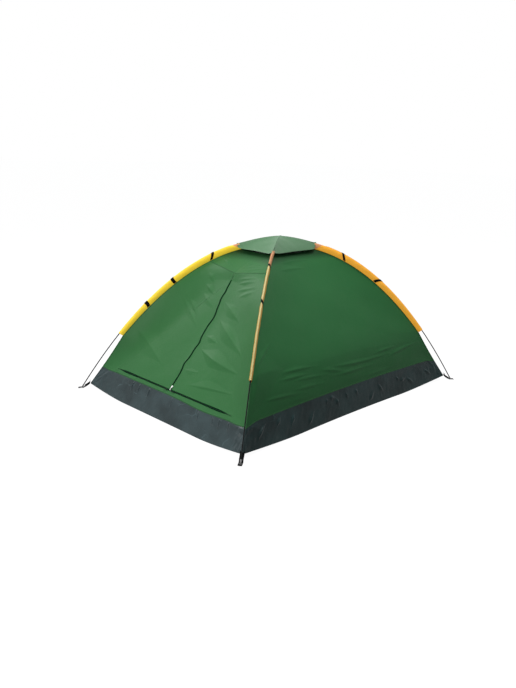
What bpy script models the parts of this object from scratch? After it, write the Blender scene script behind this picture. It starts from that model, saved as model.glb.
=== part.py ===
"""Two-person dome tent with crossed poles, a tub floor and an inverted-T door.

Metres, +Z up. The origin is on the ground under the crossing of the poles. The door faces -Y.
Along a leg, "run" is the distance from the middle over the floor diagonal.
"""

import math

import bmesh
import bpy
import numpy as np
from mathutils import Matrix, Vector

# Floor and poles
FLOOR_WIDTH = 1.50
FLOOR_LENGTH = 2.05
FLOOR_BOW_SIDE = 0.038
FLOOR_BOW_END = 0.004
CORNER_LIFT = 0.033
ARCH_HEIGHT = 1.029
ARCH_POWER = 2.11
FOOT_REACH = 0.062
POLE_RADIUS = 0.0035
POLE_BORE_RADIUS = 0.0017
POLE_SECTIONS = 6
POLE_SIDES = 8
SECTION_GAP = 0.0006
FERRULE_RADIUS = 0.0046
FERRULE_BORE_RADIUS = 0.0039
FERRULE_LENGTH = 0.070
CORD_RADIUS = 0.0011
CROSSING_GAP = 0.0006
CROSSING_REACH = 0.15

# Pole sleeves and their black bands
SLEEVE_TOP_RUN = 0.328
SLEEVE_TOP_SLANT = 0.062
SLEEVE_FOOT_RUN = 1.067
SLEEVE_HEIGHT = 0.045
SLEEVE_FOOT_HEIGHT = 0.036
SLEEVE_HALF_WIDTH = 0.010
SLEEVE_TOP_PLAY = 0.0075
BAND_RUNS = {
    "rear_left": (0.46, 0.72),
    "front_left": (0.46, 0.71, 0.89),
    "front_right": (0.455, 0.715),
    "rear_right": (0.46, 0.72),
}
BAND_LENGTH = 0.018
BAND_CLEARANCE = 0.0005

# Fabric
WALL_CLOTH = 0.0004
FLOOR_CLOTH = 0.0005
BAND_CLOTH = 0.0008
SEAM_GAP = 0.0011
SLEEVE_SEAM_GAP = 0.0005

# Walls
TUB_HEIGHT = 0.150
TUB_BOW_SIDE = 0.018
TUB_BOW_END = 0.013
LOW_SEAM_SAG = 0.005
ROOF_RUN = 0.25
ROOF_SAG = 0.015
ROOF_BOW = 0.010
NET_SAG = 0.006
SIDE_BULGE_RUN = 0.270
END_BULGE_RUN = 0.420
SIDE_BULGE_DROP = 0.115
END_BULGE_DROP = 0.085
UPPER_SEAM_RUN = 0.485
UPPER_SEAM_SAG = 0.036
PANEL_HOLLOW = 1.4

# Door
DOOR_HALF_WIDTH = 0.555
DOOR_SILL = 0.020
DOOR_TOP_DROP = 0.042
DOOR_TOP_OUT = 0.023
FLAP_TIP_CUT = 0.014
FLAP_GAP = 0.0007
ZIP_WIDTH = 0.009
ZIP_THICKNESS = 0.0012
ZIP_GAP = 0.0003
ZIP_TOP_MARGIN = 0.030

# Zip sliders and pull tabs
SLIDER_WIDTH = 0.0085
SLIDER_LENGTH = 0.013
SLIDER_THICKNESS = 0.0032
SLIDER_BEVEL = 0.001
SLIDER_RISE = 0.024
SILL_SLIDER_OFFSET = 0.026
BRIDGE_WIDTH = 0.0016
BRIDGE_LENGTH = 0.009
BRIDGE_HEIGHT = 0.0034
BRIDGE_BAR = 0.0009
TAB_WIDTH = 0.0062
TAB_LENGTH = 0.026
TAB_THICKNESS = 0.0009
TAB_BAR = 0.0012
TAB_WINDOW_WIDTH = 0.0028
TAB_WINDOW_LENGTH = 0.0055

# Vent cap
CAP_RUN = 0.316
CAP_RISE = 0.021
CAP_SEAT = 0.0028
CAP_RIDGE_POWER = 1.8
CAP_HEM_DROP = 0.085
CAP_VALLEY_POWER = 1.3
CAP_FOLD_POWER = 5
CAP_BOW_SIDE = 0.032
CAP_BOW_END = 0.040
CAP_BUNCHING = 0.67

# Corner webbing, eyelets and pole tips
STRAP_WIDTH = 0.026
STRAP_THICKNESS = 0.0014
STRAP_TUCK = 0.010
STRAP_TAIL = 0.024
STRAP_LIE = 0.006
TIP_SHOULDER_RADIUS = 0.0052
TIP_SHOULDER_LENGTH = 0.018
TIP_PIN_RADIUS = 0.0020
TIP_LIFT = 0.0006
EYELET_BORE_RADIUS = 0.0043
EYELET_RADIUS = 0.0090
EYELET_FLANGE = 0.0010
EYELET_GAP = 0.0003

# Worked out from the sizes above
HALF_DIAGONAL = math.hypot(FLOOR_WIDTH, FLOOR_LENGTH) / 2
ALONG_X = FLOOR_WIDTH / 2 / HALF_DIAGONAL
ALONG_Y = FLOOR_LENGTH / 2 / HALF_DIAGONAL
ARCH_HALF_SPAN = HALF_DIAGONAL + FOOT_REACH
CAP_APEX = ARCH_HEIGHT + CAP_RISE
LEGS = {
    "rear_left": (-1, 1),
    "front_left": (-1, -1),
    "front_right": (1, -1),
    "rear_right": (1, 1),
}
WALL_COLUMNS = 14
PANEL_COLUMNS = 6
SILL_COLUMNS = 6
DOOR_ROWS = 9
LINTEL_ROWS = 2
ROOF_PANEL_ROWS = 3
CORD_SIDES = 6
SLEEVE_POINTS = 12


def clear_scene():
    for thing in list(bpy.data.objects):
        bpy.data.objects.remove(thing, do_unlink=True)


def make_collection(name):
    made = bpy.data.collections.new(name)
    bpy.context.scene.collection.children.link(made)
    return made


def make_material(name, colour, roughness, metallic=0.0):
    made = bpy.data.materials.new(name)
    made.use_nodes = True
    shader = made.node_tree.nodes["Principled BSDF"]
    shader.inputs["Base Color"].default_value = (*colour, 1.0)
    shader.inputs["Roughness"].default_value = roughness
    shader.inputs["Metallic"].default_value = metallic
    made.diffuse_color = (*colour, 1.0)
    return made


clear_scene()
TENT = make_collection("dome_tent")
CUTTERS = make_collection("cutters")
GREEN = make_material("green_polyester", (0.055, 0.19, 0.07), 0.65)
GREY = make_material("grey_floor_sheet", (0.055, 0.075, 0.08), 0.4)
ORANGE = make_material("orange_sleeve", (0.90, 0.50, 0.06), 0.7)
BLACK = make_material("black_webbing", (0.012, 0.012, 0.012), 0.8)
NET = make_material("roof_net", (0.04, 0.07, 0.05), 0.9)
ZIP = make_material("dark_green_zip", (0.01, 0.06, 0.025), 0.5)
STEEL = make_material("slider_metal", (0.75, 0.75, 0.74), 0.3, 1.0)
FIBREGLASS = make_material("black_fibreglass", (0.02, 0.02, 0.022), 0.35)
ELASTIC = make_material("elastic_cord", (0.8, 0.8, 0.78), 0.8)


def place_object(name, mesh, material, origin=(0, 0, 0), turn=None, collection=TENT):
    mesh.materials.append(material)
    made = bpy.data.objects.new(name, mesh)
    matrix = turn.to_4x4() if turn else Matrix.Identity(4)
    made.matrix_world = Matrix.Translation(Vector(origin)) @ matrix
    collection.objects.link(made)
    return made


def mesh_from(name, bm, origin=(0, 0, 0)):
    bmesh.ops.translate(bm, verts=bm.verts, vec=-Vector(origin))
    mesh = bpy.data.meshes.new(name)
    bm.to_mesh(mesh)
    bm.free()
    mesh.shade_smooth()
    return mesh


def grid(columns, rows, place, creased=False, keep=None):
    """An open sheet: a grid whose vertex (column, row) goes to place(column, row)."""
    bm = bmesh.new()
    bmesh.ops.create_grid(bm, x_segments=columns, y_segments=rows, size=1)
    if creased:
        crease_diagonals(bm)
    if keep:
        spare = [face for face in bm.faces if not keep(face.calc_center_median())]
        bmesh.ops.delete(bm, geom=spare, context="FACES")
    for vertex in bm.verts:
        column = round((vertex.co.x + 1) / 2 * columns)
        row = round((vertex.co.y + 1) / 2 * rows)
        vertex.co = place(column, row)
    return bm


def crease_diagonals(bm):
    """Splits the faces on the two diagonals of a square grid, so that a ridge can run along them."""
    for face in list(bm.faces):
        middle = face.calc_center_median()
        if abs(abs(middle.x) - abs(middle.y)) < 1e-5:
            ends = [v for v in face.verts if abs(abs(v.co.x) - abs(v.co.y)) < 1e-5]
            bmesh.utils.face_split(face, *ends[:2])


def thicken(thing, thickness, inward=True):
    modifier = thing.modifiers.new("cloth", "SOLIDIFY")
    modifier.thickness = thickness
    modifier.offset = -1 if inward else 1
    modifier.use_even_offset = True
    return modifier


def sheet(name, surface, material, thickness, origin=(0, 0, 0), inward=True):
    made = place_object(name, mesh_from(name, surface, origin), material, origin)
    thicken(made, thickness, inward)
    return made


def cut(thing, cutter, operation="DIFFERENCE"):
    """Cuts or joins a helper object, which stays hidden in its own collection."""
    cutter.hide_render = True
    cutter.display_type = "WIRE"
    modifier = thing.modifiers.new(operation.lower(), "BOOLEAN")
    modifier.operation = operation
    modifier.object = cutter


def leg_point(leg, run, height, across=0.0):
    """A point over a floor diagonal, moved sideways by across."""
    side_x, side_y = leg
    x = side_x * ALONG_X * run - side_y * ALONG_Y * across
    y = side_y * ALONG_Y * run + side_x * ALONG_X * across
    return Vector((x, y, height))


def crossing_shift(run, side):
    """The poles pass over each other at the crossing, one above and one below the mean line."""
    apart = FERRULE_RADIUS + CROSSING_GAP / 2
    return side * apart / (1 + (run / CROSSING_REACH) ** 2) ** 2


def arch(run, side=0):
    """Height of a pole's centre line: a flattened parabola that reaches the ground at its foot."""
    share = abs(run) / ARCH_HALF_SPAN
    return ARCH_HEIGHT * (1 - share**ARCH_POWER) + crossing_shift(run, side)


def arch_normal(run):
    """The outward direction across the arch, as (run, height), from the arch's slope."""
    share = run / ARCH_HALF_SPAN
    fall = ARCH_HEIGHT * ARCH_POWER / ARCH_HALF_SPAN * share ** (ARCH_POWER - 1)
    size = math.hypot(fall, 1)
    return fall / size, 1 / size


def sleeve_depth(run):
    """From the sleeve's outer line to its seam, narrowing towards the foot."""
    share = (run / SLEEVE_FOOT_RUN) ** 3
    return SLEEVE_HEIGHT + (SLEEVE_FOOT_HEIGHT - SLEEVE_HEIGHT) * share


def sleeve_point(run, above_seam):
    """Run and height of a point this far above the sleeve's seam, across the arch."""
    out = SLEEVE_TOP_PLAY - sleeve_depth(run) + above_seam
    normal = arch_normal(run)
    return run + normal[0] * out, arch(run) + normal[1] * out


def corner_seam_line():
    """The seam of two walls as rows of (run, height): straight up to the sleeve, then along it."""
    foot = np.array(sleeve_point(SLEEVE_FOOT_RUN, 0))
    corner = np.array((HALF_DIAGONAL, CORNER_LIFT))
    share = np.linspace(0, 1, 24, endpoint=False)[:, None]
    low = corner + (foot - corner) * share
    low[:, :1] -= LOW_SEAM_SAG * np.sin(np.pi * share)
    runs = np.linspace(SLEEVE_FOOT_RUN, ROOF_RUN, 60)
    return np.vstack((low, [sleeve_point(run, 0) for run in runs]))


SEAM_LINE = corner_seam_line()
SEAM_LENGTH = np.append(0, np.cumsum(np.linalg.norm(np.diff(SEAM_LINE, axis=0), axis=1)))


def seam_run(height):
    return float(np.interp(height, SEAM_LINE[:, 1], SEAM_LINE[:, 0]))


def seam_reach(height):
    """Distance along the corner seam to a height."""
    return float(np.interp(height, SEAM_LINE[:, 1], SEAM_LENGTH))


def seam_at(reach):
    """Run and height at a distance along the corner seam."""
    return (
        float(np.interp(reach, SEAM_LENGTH, SEAM_LINE[:, 0])),
        float(np.interp(reach, SEAM_LENGTH, SEAM_LINE[:, 1])),
    )


ROOF_REACH = SEAM_LENGTH[-1]
ROOF_HEIGHT = SEAM_LINE[-1, 1]
TUB_REACH = seam_reach(TUB_HEIGHT)
TUB_TOP_RUN = seam_run(TUB_HEIGHT)
ROOF_CORNER_RUN = SEAM_LINE[-1, 0]
UPPER_SEAM_END = sleeve_point(UPPER_SEAM_RUN, 0)
UPPER_SEAM_REACH = seam_reach(UPPER_SEAM_END[1])
UPPER_SEAM_MIDDLE = Vector(
    (
        0,
        -seam_run(UPPER_SEAM_END[1] - UPPER_SEAM_SAG) * ALONG_Y + DOOR_TOP_OUT,
        UPPER_SEAM_END[1] - UPPER_SEAM_SAG,
    )
)
DOOR_TOP = UPPER_SEAM_MIDDLE + Vector((0, -DOOR_TOP_OUT, -DOOR_TOP_DROP))
TUB_FRONT = Vector((0, -(TUB_TOP_RUN * ALONG_Y - TUB_BOW_END), TUB_HEIGHT))
DOOR_UP = (DOOR_TOP - TUB_FRONT).normalized()
DOOR_OUT = Vector((1, 0, 0)).cross(DOOR_UP)
DOOR_FOOT = TUB_FRONT + DOOR_UP * (DOOR_SILL / DOOR_UP.z)
DOOR_RISE = (DOOR_TOP - DOOR_FOOT).length
SEAM_LEVELS = [
    TUB_REACH + SEAM_GAP,
    *np.linspace(seam_reach(DOOR_FOOT.z), UPPER_SEAM_REACH, DOOR_ROWS + LINTEL_ROWS + 1),
    *np.linspace(UPPER_SEAM_REACH, ROOF_REACH, ROOF_PANEL_ROWS + 1)[1:],
]


def door_point(across, up, out=0.0):
    """A point on the flat plane of the door: across in X, up from the hem, out from the cloth."""
    return DOOR_FOOT + Vector((across, 0, 0)) + DOOR_UP * up + DOOR_OUT * out


def door_half_width(up):
    """Half the width of the door at a distance above the hem, which narrows to the zip's top."""
    return DOOR_HALF_WIDTH * (1 - up / DOOR_RISE)


def corner_point(reach, leg):
    run, height = seam_at(reach)
    return leg_point(leg, run, height)


def pulled(corner, middle):
    """A sheet stops short of the corner seam, so that two walls never share an edge."""
    return corner + (middle - corner).normalized() * SEAM_GAP


def spread(middle, corner, share, depth_axis, powers=(2.0, 2.0)):
    """Across a wall: even along its width, and a curve of its own in depth and in height."""
    step = corner - middle
    point = middle + step * share
    part = abs(share)
    point[depth_axis] = middle[depth_axis] + step[depth_axis] * part ** powers[0]
    point.z = middle.z + step.z * part ** powers[1]
    return point


def bezier(start, control, end, share):
    rest = 1 - share
    return start * rest**2 + control * (2 * rest * share) + end * share**2


def make_wall(name, depth_axis, facing, bulge_run, bulge_drop, tub_bow):
    """A plain wall: a saddle between two corner seams, the tub's top and the roof opening."""
    leg = [1, 1]
    leg[depth_axis] = facing
    along = (ALONG_X, ALONG_Y)[depth_axis]
    order = facing if depth_axis == 0 else -facing

    def middle(run, height):
        point = Vector((0, 0, height))
        point[depth_axis] = facing * run
        return point

    foot = middle(TUB_TOP_RUN * along - tub_bow, TUB_HEIGHT + SEAM_GAP)
    bulge = middle(bulge_run, ROOF_HEIGHT - bulge_drop)
    top = middle(ROOF_CORNER_RUN * along - ROOF_BOW, ROOF_HEIGHT - ROOF_SAG)

    def place(column, row):
        share = order * (2 * column / WALL_COLUMNS - 1)
        reach = SEAM_LEVELS[row]
        level = (reach - SEAM_LEVELS[0]) / (ROOF_REACH - SEAM_LEVELS[0])
        centre = bezier(foot, bulge, top, level)
        return spread(centre, pulled(corner_point(reach, leg), centre), share, depth_axis)

    surface = grid(WALL_COLUMNS, len(SEAM_LEVELS) - 1, place)
    sheet(name, surface, GREEN, WALL_CLOTH)


def front_wall_point(column, row):
    """Half of the door wall. Inner columns span the door and outer ones go on to the corner."""
    outer = max(0, column - SILL_COLUMNS) / PANEL_COLUMNS
    inner = min(column, SILL_COLUMNS) / SILL_COLUMNS
    corner = corner_point(SEAM_LEVELS[row], LEGS["front_right"])
    if row == 0:
        start = door_point(DOOR_HALF_WIDTH, 0) - DOOR_UP * (DOOR_SILL / DOOR_UP.z - SEAM_GAP)
    else:
        up = min(DOOR_RISE, DOOR_RISE * (row - 1) / DOOR_ROWS)
        start = door_point(door_half_width(up), up)
        lintel = max(0, row - 1 - DOOR_ROWS) / LINTEL_ROWS
        start += (UPPER_SEAM_MIDDLE - DOOR_TOP) * lintel
    if column <= SILL_COLUMNS:
        return Vector((start.x * inner, start.y, start.z))
    point = spread(start, pulled(corner, start), outer, 1, (PANEL_HOLLOW, 1.0))
    point.x = start.x + (pulled(corner, start).x - start.x) * outer
    return point


def make_front_wall():
    """The fixed cloth round the door: sill, both sides and the strip over the zip's top."""
    columns = SILL_COLUMNS + PANEL_COLUMNS
    rows = 1 + DOOR_ROWS + LINTEL_ROWS
    door_edge = 2 * SILL_COLUMNS / columns - 1
    sill_top = 2 / rows - 1
    surface = grid(
        columns,
        rows,
        front_wall_point,
        keep=lambda middle: middle.x > door_edge or middle.y < sill_top,
    )
    wall = place_object("front_wall", mesh_from("front_wall", surface), GREEN)
    mirror = wall.modifiers.new("mirror", "MIRROR")
    mirror.merge_threshold = 0.0001
    thicken(wall, WALL_CLOTH)


def make_roof_panel():
    """Between the upper seam of the door wall and the roof opening."""
    top = Vector((0, -(ROOF_CORNER_RUN * ALONG_Y - ROOF_BOW), ROOF_HEIGHT - ROOF_SAG))
    foot = UPPER_SEAM_MIDDLE + (top - UPPER_SEAM_MIDDLE).normalized() * SEAM_GAP

    def place(column, row):
        share = 2 * column / WALL_COLUMNS - 1
        level = row / ROOF_PANEL_ROWS
        reach = SEAM_LEVELS[row - 1 - ROOF_PANEL_ROWS] + (0 if row else SEAM_GAP)
        centre = foot.lerp(top, level)
        powers = (PANEL_HOLLOW + (2 - PANEL_HOLLOW) * level, 1 + level)
        corner = pulled(corner_point(reach, LEGS["front_right"]), centre)
        return spread(centre, corner, share, 1, powers)

    surface = grid(WALL_COLUMNS, ROOF_PANEL_ROWS, place)
    sheet("front_roof_panel", surface, GREEN, WALL_CLOTH)


def make_roof_net():
    """The net across the roof opening, sagging a little in the middle."""
    cells = 8
    half_x = ROOF_CORNER_RUN * ALONG_X
    half_y = ROOF_CORNER_RUN * ALONG_Y
    margin = SEAM_GAP * 0.7

    def place(column, row):
        a = 2 * column / cells - 1
        b = 2 * row / cells - 1
        x = a * (half_x - ROOF_BOW * (1 - b * b) - margin)
        y = b * (half_y - ROOF_BOW * (1 - a * a) - margin)
        edge = max(abs(a), abs(b)) ** 2
        corner = ROOF_SAG * (a * b) ** 2
        return Vector((x, y, ROOF_HEIGHT - ROOF_SAG - NET_SAG * (1 - edge) + corner))

    sheet("roof_vent_net", grid(cells, cells, place, creased=True), NET, WALL_CLOTH)


def make_tub():
    """The floor sheet with its four sides folded up: square rings out from the middle."""
    floor_cells = 12
    side_cells = 2
    cells = floor_cells + 2 * side_cells
    fold = floor_cells / cells

    def floor_point(u, v):
        x = u * (FLOOR_WIDTH / 2 - FLOOR_BOW_SIDE * (1 - v * v))
        y = v * (FLOOR_LENGTH / 2 - FLOOR_BOW_END * (1 - u * u))
        lift = max(0.0, abs(u * v) - 0.5) / 0.5
        return Vector((x, y, CORNER_LIFT * lift**1.5))

    def side_top(u, v):
        corner_x = TUB_TOP_RUN * ALONG_X
        corner_y = TUB_TOP_RUN * ALONG_Y
        flat = DOOR_HALF_WIDTH / corner_x
        if abs(v) > abs(u):
            if v < 0:
                bend = max(0.0, abs(u) - flat) / (1 - flat)
                bow = TUB_BOW_END * (1 - bend**PANEL_HOLLOW)
            else:
                bow = TUB_BOW_END * (1 - u * u)
            return Vector((u * corner_x, v * (corner_y - bow), TUB_HEIGHT))
        bow = TUB_BOW_SIDE * (1 - v * v)
        return Vector((u * (corner_x - bow), v * corner_y, TUB_HEIGHT))

    def place(column, row):
        a = 2 * column / cells - 1
        b = 2 * row / cells - 1
        ring = max(abs(a), abs(b))
        if ring <= fold + 1e-6:
            point = floor_point(a / fold, b / fold)
        else:
            rise = (ring - fold) / (1 - fold)
            low = floor_point(a / ring, b / ring)
            point = low.lerp(side_top(a / ring, b / ring), rise)
        return point + Vector((0, 0, FLOOR_CLOTH))

    sheet("tub_floor", grid(cells, cells, place, creased=True), GREY, FLOOR_CLOTH)


def make_flap(side):
    """One door flap, flat in the door's plane, hinged on the line from the zip's top to its end."""
    name = "door_flap_" + ("left" if side < 0 else "right")
    columns = 6
    low = FLAP_GAP
    high = DOOR_RISE - FLAP_TIP_CUT

    def place(column, row):
        up = low + (high - low) * row / DOOR_ROWS
        inner = ZIP_GAP + ZIP_GAP / 2
        outer = door_half_width(up) - FLAP_GAP * DOOR_RISE / DOOR_HALF_WIDTH
        share = column / columns if side > 0 else 1 - column / columns
        return door_point(side * (inner + (outer - inner) * share), up)

    sheet(name, grid(columns, DOOR_ROWS, place), GREEN, WALL_CLOTH, DOOR_TOP)


def make_flap_zip(side):
    """The flap's half of both zips, one strip with a mitred corner at the hem."""
    name = "door_zip_" + ("left" if side < 0 else "right")
    inner = ZIP_GAP * 1.5
    hem = FLAP_GAP
    top = DOOR_RISE - ZIP_TOP_MARGIN
    end = DOOR_HALF_WIDTH - ZIP_TOP_MARGIN
    rows = 12

    def place(column, row):
        inset = ZIP_WIDTH * (column if side < 0 else 1 - column)
        half = rows // 2
        if row <= half:
            across = inner + inset
            up = top + (hem + inset - top) * row / half
        else:
            across = inner + inset + (end - inner - inset) * (row - half) / half
            up = hem + inset
        return door_point(side * across, up, ZIP_GAP)

    sheet(name, grid(1, rows, place), ZIP, ZIP_THICKNESS, DOOR_TOP, inward=False)


def make_sill_zip():
    """The half of the hem zips that stays on the sill."""
    end = DOOR_HALF_WIDTH - ZIP_TOP_MARGIN

    def place(column, row):
        across = end * (2 * column / 12 - 1)
        return door_point(across, -ZIP_GAP - ZIP_WIDTH * (1 - row), ZIP_GAP)

    sheet("sill_zip", grid(12, 1, place), ZIP, ZIP_THICKNESS, inward=False)


def box(name, size, middle, material, turn, origin, collection=CUTTERS):
    """A box about a middle that is given in the piece's own turned axes."""
    bm = bmesh.new()
    bmesh.ops.create_cube(bm, size=1)
    bmesh.ops.scale(bm, vec=Vector(size), verts=bm.verts)
    bmesh.ops.translate(bm, vec=Vector(middle), verts=bm.verts)
    return place_object(name, mesh_from(name, bm), material, origin, turn, collection)


def axes_turn(first, second):
    """A turn whose X and Y axes are the two directions."""
    third = first.cross(second)
    return Matrix((first, second, third)).transposed()


def make_slider(name, across, sliding, middle):
    """A zip slider with its bridge. Sliding is the way it travels, across is square to it."""
    turn = axes_turn(across, sliding)
    slider = box(
        name,
        (SLIDER_WIDTH, SLIDER_LENGTH, SLIDER_THICKNESS),
        (0, 0, SLIDER_THICKNESS / 2),
        STEEL,
        turn,
        middle,
        TENT,
    )
    bevel = slider.modifiers.new("rounded", "BEVEL")
    bevel.width = SLIDER_BEVEL
    bevel.segments = 2
    bridge_low = SLIDER_THICKNESS - BRIDGE_BAR
    bridge_size = (BRIDGE_WIDTH, BRIDGE_LENGTH, BRIDGE_HEIGHT + BRIDGE_BAR)
    bridge_middle = (0, 0, bridge_low + (BRIDGE_HEIGHT + BRIDGE_BAR) / 2)
    bridge = box(name + "_bridge", bridge_size, bridge_middle, STEEL, turn, middle)
    cut(slider, bridge, "UNION")
    hole_size = (BRIDGE_WIDTH * 2, BRIDGE_LENGTH - 2 * BRIDGE_BAR, BRIDGE_HEIGHT - BRIDGE_BAR)
    hole_middle = (0, 0, SLIDER_THICKNESS + (BRIDGE_HEIGHT - BRIDGE_BAR) / 2)
    cut(slider, box(name + "_eye", hole_size, hole_middle, STEEL, turn, middle))
    return slider


def make_tab(name, across, hanging, pivot):
    """A flat pull tab: its end bar runs through the slider's bridge, and it hangs one way."""
    half = TAB_WIDTH / 2
    window = TAB_WINDOW_WIDTH / 2
    outline = bpy.data.curves.new(name, "CURVE")
    outline.dimensions = "2D"
    outline.fill_mode = "BOTH"
    outline.extrude = TAB_THICKNESS / 2
    rounding = 5
    end = [
        (
            half * math.cos(math.pi * step / rounding),
            TAB_LENGTH - half + half * math.sin(math.pi * step / rounding),
        )
        for step in range(rounding + 1)
    ]
    shapes = (
        [(-half * 0.8, -TAB_BAR / 2), (half * 0.8, -TAB_BAR / 2), *end],
        [
            (-window, TAB_BAR / 2),
            (window, TAB_BAR / 2),
            (window, TAB_WINDOW_LENGTH),
            (-window, TAB_WINDOW_LENGTH),
        ],
    )
    for corners in shapes:
        spline = outline.splines.new("POLY")
        spline.points.add(len(corners) - 1)
        for point, (x, y) in zip(spline.points, corners):
            point.co = (x, y, 0, 1)
        spline.use_cyclic_u = True
    place_object(name, outline, STEEL, pivot, axes_turn(across, hanging))


def slider_and_tab(name, across, sliding, hanging, middle):
    make_slider(name + "_slider", across, sliding, middle)
    out = across.cross(sliding)
    clear = (BRIDGE_HEIGHT - BRIDGE_BAR) / 2
    pivot = middle + out * (SLIDER_THICKNESS + clear)
    side = hanging.cross(out)
    make_tab(name + "_pull_tab", side, hanging, pivot)


def make_sliders():
    """One slider for the upright zip and one for each half of the hem zip."""
    x_axis = Vector((1, 0, 0))
    lift = ZIP_GAP + ZIP_THICKNESS + ZIP_GAP
    middle = door_point(ZIP_GAP * 1.5 + SLIDER_WIDTH / 2, SLIDER_RISE, lift)
    slider_and_tab("upright_zip", x_axis, DOOR_UP, -DOOR_UP, middle)
    low = -ZIP_GAP - SLIDER_WIDTH / 2
    for side, name in ((-1, "hem_zip_left"), (1, "hem_zip_right")):
        middle = door_point(side * SILL_SLIDER_OFFSET, low, lift)
        slider_and_tab(name, -DOOR_UP, x_axis, x_axis * side, middle)


def arch_table(side):
    """Distance along a pole against run, from the left foot to the right one."""
    foot_height = STRAP_LIE + STRAP_THICKNESS + EYELET_FLANGE + TIP_SHOULDER_LENGTH
    end = ARCH_HALF_SPAN * (1 - foot_height / ARCH_HEIGHT) ** (1 / ARCH_POWER)
    runs = np.linspace(-end, end, 1601)
    heights = np.array([arch(run, side) for run in runs])
    steps = np.hypot(np.diff(runs), np.diff(heights))
    return runs, heights, np.append(0, np.cumsum(steps))


def rings_along(name, stations, radii, locate, material, closed, sides=POLE_SIDES):
    """A turned profile carried along a bent line: one circle of points for each station."""
    bm = bmesh.new()
    circles = []
    for station, radius in zip(stations, radii):
        middle, forward, sideways = locate(station)
        upward = forward.cross(sideways)
        angles = [2 * math.pi * (k + 0.5) / sides for k in range(sides)]
        circles.append(
            [
                bm.verts.new(
                    middle + (sideways * math.cos(t) + upward * math.sin(t)) * radius
                )
                for t in angles
            ]
        )
    pairs = list(zip(circles, circles[1:]))
    if closed:
        pairs.append((circles[-1], circles[0]))
    else:
        bm.faces.new(circles[0])
        bm.faces.new(circles[-1])
    for one, two in pairs:
        for k in range(sides):
            after = (k + 1) % sides
            bm.faces.new((one[k], one[after], two[after], two[k]))
    bmesh.ops.recalc_face_normals(bm, faces=bm.faces)
    mesh = mesh_from(name, bm)
    mesh.set_sharp_from_angle(angle=math.radians(40))
    return place_object(name, mesh, material)


def section_stations(start, end):
    """Places of the rings along one pole section, with one at each ferrule's reach."""
    reach = FERRULE_LENGTH / 2
    inner = np.linspace(start + reach, end - reach, 5)
    return [start, *inner, end]


def make_pole(letter, leg, side):
    """Hollow sections that plug into ferrules, a cord through the bore and a tip at each end."""
    runs, heights, lengths = arch_table(side)
    total = lengths[-1]

    def locate(distance):
        def at(value):
            run = float(np.interp(value, lengths, runs))
            height = float(np.interp(value, lengths, heights))
            return leg_point(leg, run, height)

        middle = at(distance)
        step = 0.002
        forward = (at(distance + step) - at(distance - step)).normalized()
        sideways = leg_point(leg, 0, 0, 1)
        return middle, forward, sideways

    step = total / POLE_SECTIONS
    reach = FERRULE_LENGTH / 2
    cord_stations = []
    for number in range(POLE_SECTIONS):
        start = step * number + SECTION_GAP / 2
        end = step * (number + 1) - SECTION_GAP / 2
        plain = section_stations(start, end)
        cord_stations += plain
        outer = [(place, POLE_RADIUS) for place in plain]
        if number < POLE_SECTIONS - 1:
            mouth = end + SECTION_GAP + reach
            outer = outer[:-1] + [
                (plain[-2], FERRULE_RADIUS),
                (end, FERRULE_RADIUS),
                (mouth, FERRULE_RADIUS),
                (mouth, FERRULE_BORE_RADIUS),
                (end, FERRULE_BORE_RADIUS),
            ]
        bore = [(place, POLE_BORE_RADIUS) for place in reversed(plain)]
        stations, radii = zip(*(outer + bore))
        name = f"pole_{letter}_section_{number + 1}"
        rings_along(name, stations, radii, locate, FIBREGLASS, True)
    clear = SECTION_GAP
    cord_stations = [clear, *cord_stations[1:-1], total - clear]
    radii = [CORD_RADIUS] * len(cord_stations)
    cord_name = f"pole_{letter}_shock_cord"
    rings_along(cord_name, cord_stations, radii, locate, ELASTIC, False, CORD_SIDES)


def foot_places():
    """Run and height of a pole's end, and the slope of the pole there."""
    runs, heights, _ = arch_table(0)
    normal = arch_normal(runs[-1])
    return float(runs[-1]), float(heights[-1]), Vector((normal[1], -normal[0]))


FOOT_RUN, FOOT_HEIGHT, FOOT_WAY = foot_places()


def foot_turn(leg):
    """Axes at a pole's foot: sideways, across and up the pole."""
    sideways = leg_point(leg, 0, 0, 1)
    upward = leg_point(leg, -FOOT_WAY.x, -FOOT_WAY.y)
    return axes_turn(sideways, upward.cross(sideways))


def turned(name, profile, material, origin, turn, steps, collection=TENT):
    """A profile of (radius, height), spun about the upright axis of the piece."""
    bm = bmesh.new()
    points = [bm.verts.new((radius, 0, height)) for radius, height in profile]
    for one, two in zip(points, points[1:]):
        bm.edges.new((one, two))
    made = place_object(name, mesh_from(name, bm), material, origin, turn, collection)
    screw = made.modifiers.new("turned", "SCREW")
    screw.steps = steps
    screw.render_steps = steps
    screw.use_merge_vertices = True
    screw.merge_threshold = 0.00002
    return made


def make_tip(name, leg):
    """The metal tip under a pole: a shoulder that sits on the eyelet and a pin through it."""
    foot = leg_point(leg, FOOT_RUN, FOOT_HEIGHT)
    pin_length = (FOOT_HEIGHT - TIP_LIFT) / -FOOT_WAY.y - TIP_SHOULDER_LENGTH
    pin_length -= TIP_PIN_RADIUS * 1.2
    top = -SECTION_GAP
    shoulder = -TIP_SHOULDER_LENGTH
    bottom = shoulder - pin_length
    profile = [
        (0, top),
        (TIP_SHOULDER_RADIUS * 0.9, top),
        (TIP_SHOULDER_RADIUS, top - 0.001),
        (TIP_SHOULDER_RADIUS * 0.8, shoulder),
        (TIP_PIN_RADIUS, shoulder - 0.001),
        (TIP_PIN_RADIUS, bottom + TIP_PIN_RADIUS / 2),
        (TIP_PIN_RADIUS / 2, bottom),
        (0, bottom),
    ]
    turned("pole_tip_" + name, profile, STEEL, foot, foot_turn(leg), 10)


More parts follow.
